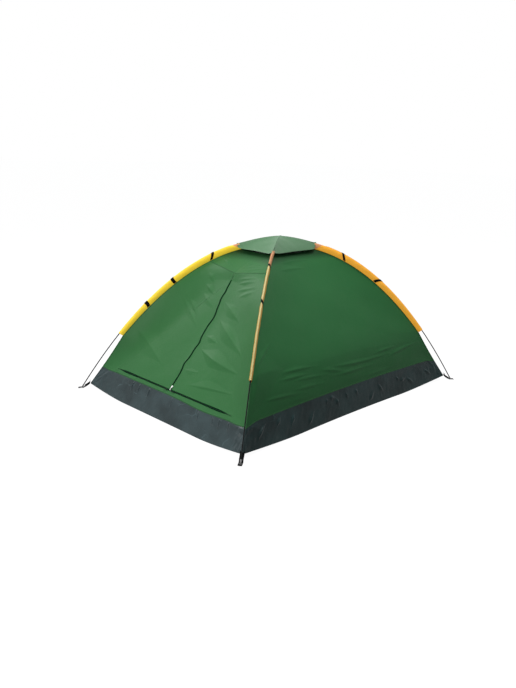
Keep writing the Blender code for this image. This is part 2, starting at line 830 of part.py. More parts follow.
def pin_run(height):
    """Run of the pole's line where it passes a height near the ground."""
    return FOOT_RUN + (FOOT_HEIGHT - height) / -FOOT_WAY.y * FOOT_WAY.x


def make_strap(name, leg):
    """Webbing from the tub's corner down to the ground, with a hole for the pole's pin."""
    top_run = seam_run(CORNER_LIFT) + SEAM_GAP * 1.5
    hole_run = pin_run(STRAP_LIE)
    path = [
        (top_run, CORNER_LIFT + STRAP_TUCK),
        (top_run + 0.003, CORNER_LIFT - 0.004),
        (top_run + 0.016, STRAP_LIE + 0.014),
        (top_run + 0.032, STRAP_LIE + 0.003),
        (hole_run - EYELET_RADIUS * 1.6, STRAP_LIE),
        (hole_run + EYELET_RADIUS, STRAP_LIE),
        (hole_run + STRAP_TAIL, STRAP_LIE - 0.002),
    ]

    def place(column, row):
        run, height = path[row]
        return leg_point(leg, run, height, STRAP_WIDTH * (0.5 - column / 2))

    strap_name = "corner_strap_" + name
    strip = grid(2, len(path) - 1, place)
    strap = sheet(strap_name, strip, BLACK, STRAP_THICKNESS, inward=False)
    hole_middle = leg_point(leg, hole_run, STRAP_LIE)
    radius = EYELET_BORE_RADIUS + EYELET_FLANGE
    bm = bmesh.new()
    bmesh.ops.create_cone(
        bm, cap_ends=True, segments=12, radius1=radius, radius2=radius, depth=0.03
    )
    hole = place_object(
        strap_name + "_hole",
        mesh_from("hole", bm),
        BLACK,
        hole_middle,
        None,
        CUTTERS,
    )
    cut(strap, hole)


def make_eyelet(name, leg):
    """A rolled eyelet through the strap: a flange above, a tube and a flange below."""
    inner = EYELET_BORE_RADIUS
    tube = EYELET_BORE_RADIUS + EYELET_FLANGE - EYELET_GAP
    top = STRAP_LIE + STRAP_THICKNESS + EYELET_GAP
    low = STRAP_LIE - EYELET_GAP
    profile = [
        (inner, top + EYELET_FLANGE),
        (EYELET_RADIUS, top + EYELET_FLANGE / 2),
        (EYELET_RADIUS, top),
        (tube, top),
        (tube, low),
        (EYELET_RADIUS * 0.8, low),
        (EYELET_RADIUS * 0.8, low - EYELET_FLANGE),
        (inner, low - EYELET_FLANGE),
        (inner, top + EYELET_FLANGE),
    ]
    middle = leg_point(leg, pin_run(STRAP_LIE), 0)
    turned("eyelet_" + name, profile, STEEL, middle, None, 12)


def sleeve_ring(run, grow=0.0):
    """Cross-section of a sleeve as (above the seam, sideways): a long drop, narrow at the seam."""
    depth = sleeve_depth(run)
    angles = np.linspace(0, 2 * math.pi, SLEEVE_POINTS, endpoint=False)
    fullness = (1 - np.cos(angles)) / 2
    up = SLEEVE_SEAM_GAP + (depth - SLEEVE_SEAM_GAP) * fullness
    side = SLEEVE_HALF_WIDTH * np.sin(angles) * fullness**0.4
    loop = np.stack((up, side), axis=1)
    along = np.roll(loop, -1, axis=0) - np.roll(loop, 1, axis=0)
    along /= np.linalg.norm(along, axis=1)[:, None]
    outward = np.stack((-along[:, 1], along[:, 0]), axis=1)
    return loop + outward * grow


SLEEVE_RUNS = np.linspace(SLEEVE_TOP_RUN, SLEEVE_FOOT_RUN, 200)
SLEEVE_SEAM_HEIGHTS = [sleeve_point(run, 0)[1] for run in SLEEVE_RUNS]


def sleeve_stations(name):
    """Both ends, the middle of each band and every row of the walls, so that all bend together."""
    rows = [seam_at(reach)[1] for reach in SEAM_LEVELS]
    inside = [z for z in rows if SLEEVE_SEAM_HEIGHTS[-1] < z < SLEEVE_SEAM_HEIGHTS[0]]
    runs = np.interp(inside, SLEEVE_SEAM_HEIGHTS[::-1], SLEEVE_RUNS[::-1])
    ends = (SLEEVE_TOP_RUN, SLEEVE_FOOT_RUN)
    return np.unique(np.round(np.concatenate((ends, runs, BAND_RUNS[name])), 5))


def make_sleeve(name, leg):
    """The fabric tube on a leg, sewn along the corner seam with the pole in its outer edge."""
    stations = sleeve_stations(name)
    bm = grid(
        SLEEVE_POINTS,
        len(stations) - 1,
        lambda column, row: sleeve_surface(leg, stations[row], column % SLEEVE_POINTS, 0.0),
    )
    bmesh.ops.remove_doubles(bm, verts=bm.verts, dist=0.00002)
    sleeve = place_object("pole_sleeve_" + name, mesh_from("sleeve", bm), ORANGE)
    thicken(sleeve, WALL_CLOTH)
    return sleeve


def sleeve_surface(leg, run, point, grow):
    """A point of a sleeve's cross-section. The top end slants back from the pole to the seam."""
    up, side = sleeve_ring(run, grow)[point]
    if run == SLEEVE_TOP_RUN:
        run -= SLEEVE_TOP_SLANT * (1 - up / sleeve_depth(run))
    place, height = sleeve_point(run, up)
    return leg_point(leg, place, height, side)


def make_bands(name, leg):
    """Black bands that wrap the sleeve and stop short of the wall."""
    first = 2
    columns = SLEEVE_POINTS - 2 * first
    for number, run in enumerate(BAND_RUNS[name], 1):
        ends = (run - BAND_LENGTH / 2, run + BAND_LENGTH / 2)

        def place(column, row, ends=ends):
            return sleeve_surface(leg, ends[row], first + column, BAND_CLEARANCE)

        band = f"sleeve_band_{name}_{number}"
        sheet(band, grid(columns, 1, place), BLACK, BAND_CLOTH, inward=False)


def make_cap():
    """The vent cap: its four ridges run down the poles and the cloth between them hangs lower."""
    cells = 10
    half_x = CAP_RUN * ALONG_X
    half_y = CAP_RUN * ALONG_Y
    corner_height = sleeve_point(CAP_RUN, sleeve_depth(CAP_RUN))[1] + CAP_SEAT

    def bunched(value):
        """Moves the grid's lines towards the ridges, where the cloth folds."""
        return math.copysign(abs(value) ** CAP_BUNCHING, value)

    def place(column, row):
        a = bunched(2 * column / cells - 1)
        b = bunched(2 * row / cells - 1)
        ring = max(abs(a), abs(b))
        share = min(abs(a), abs(b)) / ring if ring else 0
        x = a * (half_x - CAP_BOW_SIDE * (1 - b * b) * ring**2)
        y = b * (half_y - CAP_BOW_END * (1 - a * a) * ring**2)
        ridge = CAP_APEX - (CAP_APEX - corner_height) * ring**CAP_RIDGE_POWER
        valley = CAP_APEX - CAP_HEM_DROP * ring**CAP_VALLEY_POWER
        fold = share ** (1 + CAP_FOLD_POWER * ring)
        return Vector((x, y, valley + (ridge - valley) * fold))

    sheet("vent_cap", grid(cells, cells, place, creased=True), GREEN, WALL_CLOTH)


make_tub()
make_front_wall()
make_roof_panel()
make_wall("back_wall", 1, 1, END_BULGE_RUN, END_BULGE_DROP, TUB_BOW_END)
make_wall("left_wall", 0, -1, SIDE_BULGE_RUN, SIDE_BULGE_DROP, TUB_BOW_SIDE)
make_wall("right_wall", 0, 1, SIDE_BULGE_RUN, SIDE_BULGE_DROP, TUB_BOW_SIDE)
make_roof_net()
make_cap()
for flap_side in (-1, 1):
    make_flap(flap_side)
    make_flap_zip(flap_side)
make_sill_zip()
make_sliders()
make_pole("a", LEGS["rear_right"], 1)
make_pole("b", LEGS["front_right"], -1)
for leg_name, leg_way in LEGS.items():
    make_sleeve(leg_name, leg_way)
    make_bands(leg_name, leg_way)
    make_strap(leg_name, leg_way)
    make_eyelet(leg_name, leg_way)
    make_tip(leg_name, leg_way)
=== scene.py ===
"""Looks of a two-person dome tent: taut green cloth, orange pole sleeves, a grey tub and a zipped door.

Metres, +Z up, the door faces -Y. Every surface is worked out as arrays from the sizes of the part.
Along a leg, "run" is the distance from the middle over the floor diagonal.
"""

import math

import bmesh
import bpy
import numpy as np
from mathutils import Matrix


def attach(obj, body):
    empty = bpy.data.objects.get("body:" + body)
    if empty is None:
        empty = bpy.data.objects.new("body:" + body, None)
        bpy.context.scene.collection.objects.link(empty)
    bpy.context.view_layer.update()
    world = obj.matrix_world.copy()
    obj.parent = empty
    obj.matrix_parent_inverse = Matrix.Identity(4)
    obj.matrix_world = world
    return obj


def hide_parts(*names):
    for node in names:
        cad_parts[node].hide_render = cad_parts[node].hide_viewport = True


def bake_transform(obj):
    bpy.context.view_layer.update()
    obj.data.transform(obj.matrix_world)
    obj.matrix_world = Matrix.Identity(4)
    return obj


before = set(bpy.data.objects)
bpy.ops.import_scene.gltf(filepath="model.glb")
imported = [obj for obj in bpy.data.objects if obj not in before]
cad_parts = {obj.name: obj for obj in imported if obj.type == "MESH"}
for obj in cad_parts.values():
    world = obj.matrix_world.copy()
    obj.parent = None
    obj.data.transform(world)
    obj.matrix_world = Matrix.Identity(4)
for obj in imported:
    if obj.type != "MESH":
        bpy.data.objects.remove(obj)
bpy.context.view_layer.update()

# Sizes of the part
FLOOR_WIDTH = 1.50
FLOOR_LENGTH = 2.05
FLOOR_BOW_SIDE = 0.038
FLOOR_BOW_END = 0.004
CORNER_LIFT = 0.033
ARCH_HEIGHT = 1.029
ARCH_POWER = 2.11
FOOT_REACH = 0.062
POLE_RADIUS = 0.0035
POLE_SECTIONS = 6
SECTION_GAP = 0.0006
FERRULE_RADIUS = 0.0046
FERRULE_LENGTH = 0.070
CROSSING_GAP = 0.0006
CROSSING_REACH = 0.15
SLEEVE_TOP_RUN = 0.328
SLEEVE_TOP_SLANT = 0.062
SLEEVE_FOOT_RUN = 1.067
SLEEVE_HEIGHT = 0.045
SLEEVE_FOOT_HEIGHT = 0.036
SLEEVE_HALF_WIDTH = 0.010
SLEEVE_TOP_PLAY = 0.0075
SLEEVE_STARTS = {"front_left": 0.272, "front_right": 0.292, "rear_right": 0.244, "rear_left": 0.268}
SLEEVE_CUFFS = {"front_left": 0.318, "front_right": 0.448, "rear_right": 0.302, "rear_left": 0.32}
SLEEVE_PRESS = 0.074
SLEEVE_PRESS_RUN = 0.345
SLEEVE_SLANT_START = 0.243
BAND_RUNS = {
    "rear_left": (0.46, 0.72),
    "front_left": (0.46, 0.71, 0.89),
    "front_right": (0.455, 0.715),
    "rear_right": (0.46, 0.72),
}
BAND_LENGTH = 0.018
BAND_THICKNESS = 0.0009
BAND_LEAN = {
    ("front_left", 1): -0.004,
    ("front_left", 2): 0.004,
    ("front_left", 3): -0.004,
    ("rear_right", 2): 0.010,
    ("front_right", 1): 0.008,
    ("front_right", 2): 0.010,
}
BAND_TILT = {
    ("front_left", 1): 0.030,
    ("front_left", 3): 0.008,
    ("rear_right", 1): 0.034,
    ("rear_right", 2): -0.024,
}
WALL_CLOTH = 0.0004
TARP_THICKNESS = 0.0005
TUB_HEIGHT = 0.150
TUB_BOW_SIDE = 0.018
TUB_BOW_END = 0.013
LOW_SEAM_SAG = 0.005
ROOF_RUN = 0.25
ROOF_SAG = 0.015
ROOF_BOW = 0.010
NET_SAG = 0.006
SIDE_BULGE_RUN = 0.270
END_BULGE_RUN = 0.420
SIDE_BULGE_DROP = 0.115
END_BULGE_DROP = 0.085
SIDE_FULLNESS = 0.032
END_FULLNESS = 0.016
UPPER_SEAM_RUN = 0.485
UPPER_SEAM_SAG = 0.036
PANEL_HOLLOW = 1.4
WING_CURL = 2.0
LINTEL_SHARE = 9 / 11
DOOR_HALF_WIDTH = 0.555
DOOR_SILL = 0.020
DOOR_TOP_DROP = 0.042
DOOR_TOP_OUT = 0.023
FLAP_TIP_CUT = 0.014
FLAP_GAP = 0.0007
ZIP_WIDTH = 0.009
ZIP_GAP = 0.0003
ZIP_TOP_MARGIN = 0.030
ZIP_THICKNESS = 0.0009
ZIP_LIFT = 0.0013
CAP_RUN = 0.316
CAP_APEX = 1.050
CAP_SEAT = 0.0028
CAP_PRESS = 0.0010
CAP_TIPS = {"front_left": 0.287, "front_right": 0.303, "rear_right": 0.256, "rear_left": 0.285}
CAP_DRAW = 0.25
CAP_FALL = 0.35
CAP_RIDGE_POWER = 1.55
CAP_HEM_DROP = 0.085
CAP_VALLEY_POWER = 1.3
CAP_FOLD_POWER = 5
CAP_BOW_SIDE = 0.032
CAP_BOW_END = 0.040
STRAP_WIDTH = 0.026
STRAP_THICKNESS = 0.0014
STRAP_TUCK = 0.010
STRAP_TAIL = 0.024
STRAP_LIE = 0.006
STRAP_CURL = 0.0140
STRAP_CURL_END = 0.008
TIP_SHOULDER_RADIUS = 0.0052
TIP_SHOULDER_LENGTH = 0.018
TIP_PIN_RADIUS = 0.0020
TIP_LIFT = 0.0006
EYELET_BORE_RADIUS = 0.0043
EYELET_RADIUS = 0.0090
EYELET_FLANGE = 0.0010

# Sizes of what only shows in the looks
TEETH_PITCH = 0.0026
TEETH_RADIUS = 0.0011
SEAM_TAPE = 0.010
BINDING = 0.007
TEETH_LIFT = 0.0014
TEETH_OVERLAP = 0.0002
TEETH_THICKNESS = 0.0003
ZIP_END_THICKNESS = 0.0005
BINDING_THICKNESS = 0.0006
CAP_HEM_TAPE = 0.011
FULLNESS_WAY = (0.83, 0.56)
SIDE_SEAM_RISE = 0.013
FRONT_SEAM_SAG = 0.007
FRONT_SEAM_DIP = 0.011
FRONT_DIP_PLACE = 0.33
FRONT_DIP_WIDTH = 0.18
ROOF_PANEL_LENGTH = 0.26
COARSE_CREASE = 0.085
FINE_CREASE = 0.034
PUCKER_HEIGHT = 0.0070
PUCKER_WIDTH = 0.0040
PUCKER_SLANT = 0.06

HALF_DIAGONAL = math.hypot(FLOOR_WIDTH, FLOOR_LENGTH) / 2
ALONG_X = FLOOR_WIDTH / 2 / HALF_DIAGONAL
ALONG_Y = FLOOR_LENGTH / 2 / HALF_DIAGONAL
ARCH_HALF_SPAN = HALF_DIAGONAL + FOOT_REACH
LEGS = {
    "rear_left": (-1, 1),
    "front_left": (-1, -1),
    "front_right": (1, -1),
    "rear_right": (1, 1),
}
INSIDE = np.array((0.0, 0.0, 0.35))


# Shared shapes


def smooth(value, start, end):
    """Eases from 0 at start to 1 at end, with no kink at either; end may lie below start."""
    share = np.clip((value - start) / (end - start), 0, 1)
    return share * share * (3 - 2 * share)


def bell(value, width):
    """A bell curve: 1 at 0 and 1/e at width to either side."""
    return np.exp(-((value / width) ** 2))


def unit(vector):
    """The same direction, with length 1."""
    return vector / np.maximum(np.linalg.norm(vector, axis=-1, keepdims=True), 1e-12)


def grid_of(*parts):
    """Points from their coordinates, each spread to the shape that all of them share."""
    return np.stack(np.broadcast_arrays(*parts), axis=-1)


def length_along(line):
    """Distance along a line of points, from 0 at the first."""
    return np.append(0, np.cumsum(np.linalg.norm(np.diff(line, axis=0), axis=1)))


def leg_points(leg, run, height, across=0.0):
    """Points over a floor diagonal, moved sideways by across."""
    x = leg[0] * ALONG_X * run - leg[1] * ALONG_Y * across
    y = leg[1] * ALONG_Y * run + leg[0] * ALONG_X * across
    return grid_of(x, y, height)


def arch(run, side=0):
    """Height of a pole's centre line: a flattened parabola, with a hump or dip at the crossing."""
    share = np.abs(run) / ARCH_HALF_SPAN
    apart = FERRULE_RADIUS + CROSSING_GAP / 2
    shift = side * apart / (1 + (run / CROSSING_REACH) ** 2) ** 2
    return ARCH_HEIGHT * (1 - share**ARCH_POWER) + shift


def arch_normal(run):
    """The outward direction across the arch as (run, height): the slope turned by a right angle."""
    share = np.abs(run) / ARCH_HALF_SPAN
    fall = ARCH_HEIGHT * ARCH_POWER / ARCH_HALF_SPAN * share ** (ARCH_POWER - 1)
    size = np.hypot(fall, 1)
    return fall / size, 1 / size


def sleeve_depth(run):
    """From a sleeve's outer line to its seam, narrowing with the cube of the run."""
    share = (run / SLEEVE_FOOT_RUN) ** 3
    return SLEEVE_HEIGHT + (SLEEVE_FOOT_HEIGHT - SLEEVE_HEIGHT) * share


def sleeve_point(run, above_seam):
    """Run and height of a point this far above the sleeve's seam, square to the arch."""
    out = SLEEVE_TOP_PLAY - sleeve_depth(run) + above_seam
    normal = arch_normal(run)
    return run + normal[0] * out, arch(run) + normal[1] * out


def corner_seam_line():
    """The seam of two walls as (run, height): nearly straight to the sleeve, then along it."""
    foot = np.array(sleeve_point(SLEEVE_FOOT_RUN, 0))
    corner = np.array((HALF_DIAGONAL, CORNER_LIFT))
    share = np.linspace(0, 1, 24, endpoint=False)[:, None]
    low = corner + (foot - corner) * share
    low[:, :1] -= LOW_SEAM_SAG * np.sin(np.pi * share)
    along = np.stack(sleeve_point(np.linspace(SLEEVE_FOOT_RUN, ROOF_RUN, 60), 0), axis=1)
    return np.vstack((low, along))


SEAM_LINE = corner_seam_line()
SEAM_LENGTH = length_along(SEAM_LINE)


def seam_run(height):
    """Run of the corner seam at a height."""
    return float(np.interp(height, SEAM_LINE[:, 1], SEAM_LINE[:, 0]))


def seam_reach(height):
    """Distance along the corner seam to a height."""
    return float(np.interp(height, SEAM_LINE[:, 1], SEAM_LENGTH))


def seam_at(reach):
    """Run and height at distances along the corner seam."""
    run = np.interp(reach, SEAM_LENGTH, SEAM_LINE[:, 0])
    return run, np.interp(reach, SEAM_LENGTH, SEAM_LINE[:, 1])


ROOF_REACH = SEAM_LENGTH[-1]
ROOF_CORNER_RUN, ROOF_HEIGHT = SEAM_LINE[-1]
TUB_REACH = seam_reach(TUB_HEIGHT)
TUB_TOP_RUN = seam_run(TUB_HEIGHT)
UPPER_SEAM_END = sleeve_point(UPPER_SEAM_RUN, 0)
UPPER_SEAM_REACH = seam_reach(UPPER_SEAM_END[1])
UPPER_SEAM_HEIGHT = UPPER_SEAM_END[1] - UPPER_SEAM_SAG
DOOR_TOP = np.array((0, -seam_run(UPPER_SEAM_HEIGHT) * ALONG_Y, UPPER_SEAM_HEIGHT - DOOR_TOP_DROP))
UPPER_SEAM_MIDDLE = DOOR_TOP + (0, DOOR_TOP_OUT, DOOR_TOP_DROP)
TUB_FRONT = np.array((0, TUB_BOW_END - TUB_TOP_RUN * ALONG_Y, TUB_HEIGHT))
DOOR_UP = unit(DOOR_TOP - TUB_FRONT)
DOOR_OUT = np.array((0, -DOOR_UP[2], DOOR_UP[1]))
DOOR_FOOT = TUB_FRONT + DOOR_UP * (DOOR_SILL / DOOR_UP[2])
DOOR_RISE = float(np.linalg.norm(DOOR_TOP - DOOR_FOOT))
HEM_REACH = seam_reach(DOOR_FOOT[2])
FLAP_EDGE = ZIP_GAP * 1.5
FLAP_NAMES = {-1: "left", 1: "right"}


def door_points(across, up, out=0.0):
    """Points on the door's flat plane: across in X, up from the hem, out from the cloth."""
    across, up, out = np.broadcast_arrays(across, up, out)
    sideways = across[..., None] * np.array((1.0, 0.0, 0.0))
    return DOOR_FOOT + sideways + up[..., None] * DOOR_UP + out[..., None] * DOOR_OUT


def door_half_width(up):
    """Half the door's width, falling evenly to nothing at its top."""
    return DOOR_HALF_WIDTH * (1 - up / DOOR_RISE)


# Folds as (start across, start up, end across, end up, bow, width above, width below, height)
DOOR_FOLDS = (
    (0.03, 0.655, 0.275, 0.53, 0, 0.042, 0.05, 0.0052),
    (0.055, 0.535, 0.455, 0.32, 0, 0.056, 0.06, 0.0072),
    (0.035, 0.318, 0.49, 0.236, -0.018, 0.07, 0.05, 0.0084),
    (0.035, 0.405, 0.18, 0.372, 0, 0.03, 0.03, 0.0036),
    (0.02, 0.15, 0.16, 0.166, 0, 0.024, 0.03, 0.0022),
    (0.08, 0.062, 0.57, 0.114, 0.012, 0.05, 0.014, 0.0036),
    (0.027, 0.842, 0.26, 0.878, 0.003, 0.014, 0.012, 0.0026),
    (0.04, 0.81, 0.28, 0.853, 0.003, 0.016, 0.012, 0.0028),
    (0.05, 0.778, 0.28, 0.83, 0.004, 0.018, 0.014, 0.0028),
    (0.068, 0.73, 0.3, 0.788, 0.004, 0.02, 0.018, 0.003),
    (0.12, 0.692, 0.29, 0.76, 0.004, 0.022, 0.02, 0.0028),
    (-0.22, 0.815, -0.11, 0.745, 0, 0.028, 0.014, 0.0034),
    (-0.2, 0.738, -0.055, 0.665, 0, 0.034, 0.016, 0.0044),
    (-0.19, 0.68, -0.015, 0.575, 0, 0.024, 0.034, 0.0034),
    (-0.265, 0.61, -0.11, 0.5, 0, 0.036, 0.015, 0.0046),
    (-0.32, 0.605, -0.045, 0.42, 0, 0.026, 0.04, 0.0038),
    (-0.56, 0.3, -0.16, 0.12, 0, 0.09, 0.08, 0.006),
    (-0.03, 0.862, 0.022, 0.82, 0, 0.009, 0.009, 0.0034),
)
LONG_WALL_FOLDS = (
    (-0.99, 0.38, -0.52, 0.25, 0, 0.2, 0.26, 0.014),
    (-0.68, 0.24, 0.9, 0.215, -0.01, 0.24, 0.15, 0.006),
    (-0.84, 0.13, -0.35, 0.06, 0, 0.02, 0.011, 0.0048),
    (-0.56, 0.112, -0.16, 0.076, 0, 0.016, 0.01, 0.0042),
    (-0.66, 0.208, -0.26, 0.158, 0, 0.02, 0.012, 0.0056),
    (-0.64, 0.252, -0.19, 0.188, 0, 0.022, 0.012, 0.0056),
    (-0.56, 0.172, -0.09, 0.113, 0, 0.018, 0.01, 0.0044),
    (-0.29, 0.178, 0.06, 0.088, 0, 0.022, 0.011, 0.0048),
    (-0.23, 0.112, 0.44, 0.11, -0.014, 0.018, 0.01, 0.005),
    (-0.27, 0.184, 0.69, 0.18, -0.045, 0.02, 0.011, 0.006),
    (0.04, 0.036, 0.65, 0.05, 0, 0.014, 0.01, 0.0042),
    (0.26, 0.163, 0.66, 0.203, 0, 0.017, 0.01, 0.0046),
    (-0.7, 0.056, -0.15, 0.016, 0, 0.012, 0.009, 0.0034),
    (-0.81, 0.362, -0.54, 0.492, 0, 0.036, 0.016, 0.0048),
    (-0.17, 0.956, 0.22, 0.95, 0, 0.024, 0.022, 0.0036),
    (-0.23, 0.904, 0.16, 0.9, 0, 0.026, 0.022, 0.0036),
    (-0.28, 0.866, 0.08, 0.836, 0, 0.024, 0.02, 0.0032),
    (0.38, 0.11, 0.91, 0.225, 0, 0.024, 0.014, 0.005),
)
END_WALL_FOLDS = (
    (-0.66, 0.07, -0.1, 0.15, 0, 0.022, 0.013, 0.006),
    (0.06, 0.19, 0.68, 0.08, 0, 0.022, 0.013, 0.006),
    (-0.5, 0.47, -0.06, 0.4, 0, 0.06, 0.034, 0.006),
    (0.04, 0.48, 0.43, 0.56, 0, 0.06, 0.034, 0.006),
    (-0.3, 0.74, 0.06, 0.64, 0, 0.04, 0.03, 0.005),
    (-0.64, 0.25, 0.64, 0.24, 0, 0.2, 0.13, 0.016),
)
ROOF_PANEL_FOLDS = (
    (0.01, 0.03, 0.24, 0.062, 0.004, 0.022, 0.018, 0.0036),
    (-0.24, 0.11, -0.01, 0.04, 0, 0.024, 0.018, 0.0036),
    (0.02, 0.085, 0.2, 0.12, 0, 0.026, 0.02, 0.0034),
)
# The zip's bends as (height, spread, shift sideways)
ZIP_BENDS = (
    (0.42, 0.42, 0.007),
    (0.188, 0.036, -0.012),
    (0.343, 0.026, 0.0095),
    (0.535, 0.05, 0.0145),
    (0.668, 0.03, -0.007),
    (0.745, 0.022, 0.005),
)
# The tub's folds, in the order of the cloth's folds, along the floor's edge and up from it
TUB_FOLDS = (
    (-0.24, 0.13, -0.165, 0.112, 0, 0.014, 0.014, 0.009),
    (-0.17, 0.114, -0.133, 0.056, 0, 0.014, 0.018, 0.011),
    (-0.064, 0.126, -0.04, 0.08, 0, 0.012, 0.014, 0.009),
    (0.036, 0.126, 0.07, 0.084, 0, 0.012, 0.016, 0.009),
    (-0.585, 0.122, -0.612, 0.045, 0, 0.022, 0.02, 0.012),
    (0.512, 0.116, 0.54, 0.074, 0, 0.014, 0.014, 0.009),
    (0.54, 0.078, 0.628, 0.09, 0, 0.014, 0.014, 0.008),
    (0.62, 0.092, 0.706, 0.024, 0, 0.014, 0.016, 0.01),
    (0.846, 0.104, 0.922, 0.032, 0, 0.016, 0.016, 0.01),
    (-0.268, 0.132, -0.258, 0.088, 0, 0.01, 0.012, 0.007),
    (0.17, 0.022, 0.262, 0.092, 0, 0.022, 0.018, 0.006),
    (-0.45, 0.02, -0.38, 0.102, 0, 0.026, 0.018, 0.009),
    (0.29, 0.11, 0.352, 0.04, 0, 0.016, 0.022, 0.008),
    (-0.905, 0.035, -0.825, 0.13, 0.018, 0.014, 0.026, 0.012),
    (-0.74, 0.08, -0.7, 0.132, 0.008, 0.016, 0.024, 0.01),
)
# Where the stitched puckers start along the front of the tub
PUCKERS = (-0.36, -0.29, -0.18, 0.06, 0.33, 0.46, 0.52, 0.60)


def folds(u, v, lines):
    """Wedge-shaped folds of stiff cloth along bowed lines.

    Across a fold the height falls from the line by (1 - distance / width) to the power 1.2, with a
    width of its own above and below the line. Width and height both taper to the ends.
    """
    height = np.zeros(np.broadcast(u, v).shape)
    for u0, v0, u1, v1, bow, above, below, rise in lines:
        length = math.hypot(u1 - u0, v1 - v0)
        along = ((u - u0) * (u1 - u0) + (v - v0) * (v1 - v0)) / length**2
        off = ((v - v0) * (u1 - u0) - (u - u0) * (v1 - v0)) / length
        off = off - 4 * bow * along * (1 - along)
        size = smooth(along, 0, 0.40) * smooth(1 - along, 0, 0.65) + 0.0001
        share = np.abs(off) / (np.where(off > 0, above, below) * size)
        height += rise * size * np.clip(1 - share, 0, 1) ** 1.2
    return height


def slack(u, v, seed, count, shortest, longest, height):
    """The unevenness left in taut cloth: plane waves of seeded length, direction and phase, summed."""
    source = np.random.default_rng(seed)
    total = np.zeros_like(u)
    for _ in range(count):
        length = source.uniform(shortest, longest)
        angle = source.uniform(0, math.pi)
        phase = source.uniform(0, 2 * math.pi)
        total += np.sin(2 * np.pi / length * (u * math.cos(angle) + v * math.sin(angle)) + phase)
    return total * height / math.sqrt(count)


def facets(u, v, cell, seed):
    """Crumpled sheet: seeded heights on a skewed lattice, joined by flat triangles."""
    size = 61
    table = np.random.default_rng(seed).standard_normal((size, size))
    a = u / cell + 0.45 * v / cell
    b = v / cell * 0.9 - 0.2 * u / cell
    i, j = np.floor(a).astype(int), np.floor(b).astype(int)
    p, q = a - i, b - j
    corner = [table[(i + x) % size, (j + y) % size] for x, y in ((0, 0), (1, 0), (0, 1), (1, 1))]
    low = corner[0] + (corner[1] - corner[0]) * p + (corner[2] - corner[0]) * q
    high = corner[3] + (corner[2] - corner[3]) * (1 - p) + (corner[1] - corner[3]) * (1 - q)
    return np.where(p + q < 1, low, high)


def surface_normals(points):
    """Unit normals of a grid of points: the cross product of its two gradients."""
    normal = unit(np.cross(np.gradient(points, axis=0), np.gradient(points, axis=1)))
    middle = (normal * (points - INSIDE)).sum(axis=-1).mean()
    return normal if middle > 0 else -normal


def displaced(points, height):
    """Moves a grid of points outwards by height."""
    return points + surface_normals(points) * height[..., None]


def creased(points, uv, held, lines, waves, mirror=1):
    """Cloth with its folds and its slack, both less where held falls."""
    u, v = uv[..., 0] * mirror, uv[..., 1]
    return displaced(points, (folds(u, v, lines) + slack(u, v, *waves)) * held)


# Pieces


def make_piece(name, patches, material, outward=None, sharp=None):
    """A mesh from grids of points with a UV map in metres, welded where the grids meet.

    patches are pairs of (points, uv), both with two grid axes. Faces point away from the inside of
    the tent, or out of the piece's own volume where outward is "volume".
    """
    points, uvs, quads, start = [], [], [], 0
    for place, uv in patches:
        rows, columns = place.shape[:2]
        index = np.arange(rows * columns).reshape(rows, columns) + start
        around = (index[:-1, :-1], index[:-1, 1:], index[1:, 1:], index[1:, :-1])
        quads.append(np.stack(around, axis=-1).reshape(-1, 4))
        points.append(place.reshape(-1, 3))
        uvs.append(uv.reshape(-1, 2))
        start += rows * columns
    points, uvs, quads = np.vstack(points), np.vstack(uvs), np.vstack(quads)
    a, b, c, d = (points[quads[:, k]] for k in range(4))
    normal = np.cross(c - a, d - b)
    middle = (a + b + c + d) / 4
    origin = points.mean(axis=0) if outward == "volume" else INSIDE
    if (normal * (middle - origin)).sum() < 0:
        quads = quads[:, ::-1]
    mesh = bpy.data.meshes.new(name)
    mesh.from_pydata(points, [], quads.tolist())
    layer = mesh.uv_layers.new(name="cloth")
    layer.data.foreach_set("uv", uvs[quads.ravel()].astype(np.float32).ravel())
    work = bmesh.new()
    work.from_mesh(mesh)
    bmesh.ops.remove_doubles(work, verts=work.verts, dist=2e-6)
    bmesh.ops.dissolve_degenerate(work, edges=work.edges, dist=1e-7)
    work.to_mesh(mesh)
    work.free()
    mesh.shade_smooth()
    if sharp is not None:
        mesh.set_sharp_from_angle(angle=math.radians(sharp))
    mark_rim(mesh)
    mesh.materials.append(material)
    made = bpy.data.objects.new(name, mesh)
    bpy.context.scene.collection.objects.link(made)
    return made


def mark_rim(mesh):
    """Marks the open edges as sharp, so that a hem's cut side doesn't shade the cloth."""
    edges = np.zeros(len(mesh.loops), np.int32)
    mesh.loops.foreach_get("edge_index", edges)
    open_edge = np.bincount(edges, minlength=len(mesh.edges)) == 1
    marks = mesh.attributes.get("sharp_edge") or mesh.attributes.new("sharp_edge", "BOOLEAN", "EDGE")
    sharp = np.zeros(len(mesh.edges), bool)
    marks.data.foreach_get("value", sharp)
    marks.data.foreach_set("value", sharp | open_edge)


def cloth(name, patches, look, nodes=None, flap=None):
    """A sheet of cloth that stands for CAD nodes, which it hides, and rides on the tent; on a flap it is only
    baked in place.
    """
    made = strip(name, patches, look, nodes or [name], flap)


def strip(name, patches, look, nodes=(), flap=None, inward=True):
    """A piece of cloth, webbing or tape in its look: its material, its finish's name and its thickness; the
    finish's name is not used.
    """
    material, slot_name, thickness = look
    made = make_piece(name, patches, material)
    modifier = made.modifiers.new("cloth", "SOLIDIFY")
    modifier.thickness = thickness
    modifier.offset = -1 if inward else 1
    modifier.use_even_offset = False
    settle(made, nodes, flap)
    return made


def settle(made, nodes, flap=None):
    """Rides a piece on the tent, or only bakes it in place for a flap, and hides the CAD nodes that it stands
    for.
    """
    if flap:
        bend_with_flap(made, flap)
    else:
        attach(made, "tent")
    if nodes:
        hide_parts(*nodes)


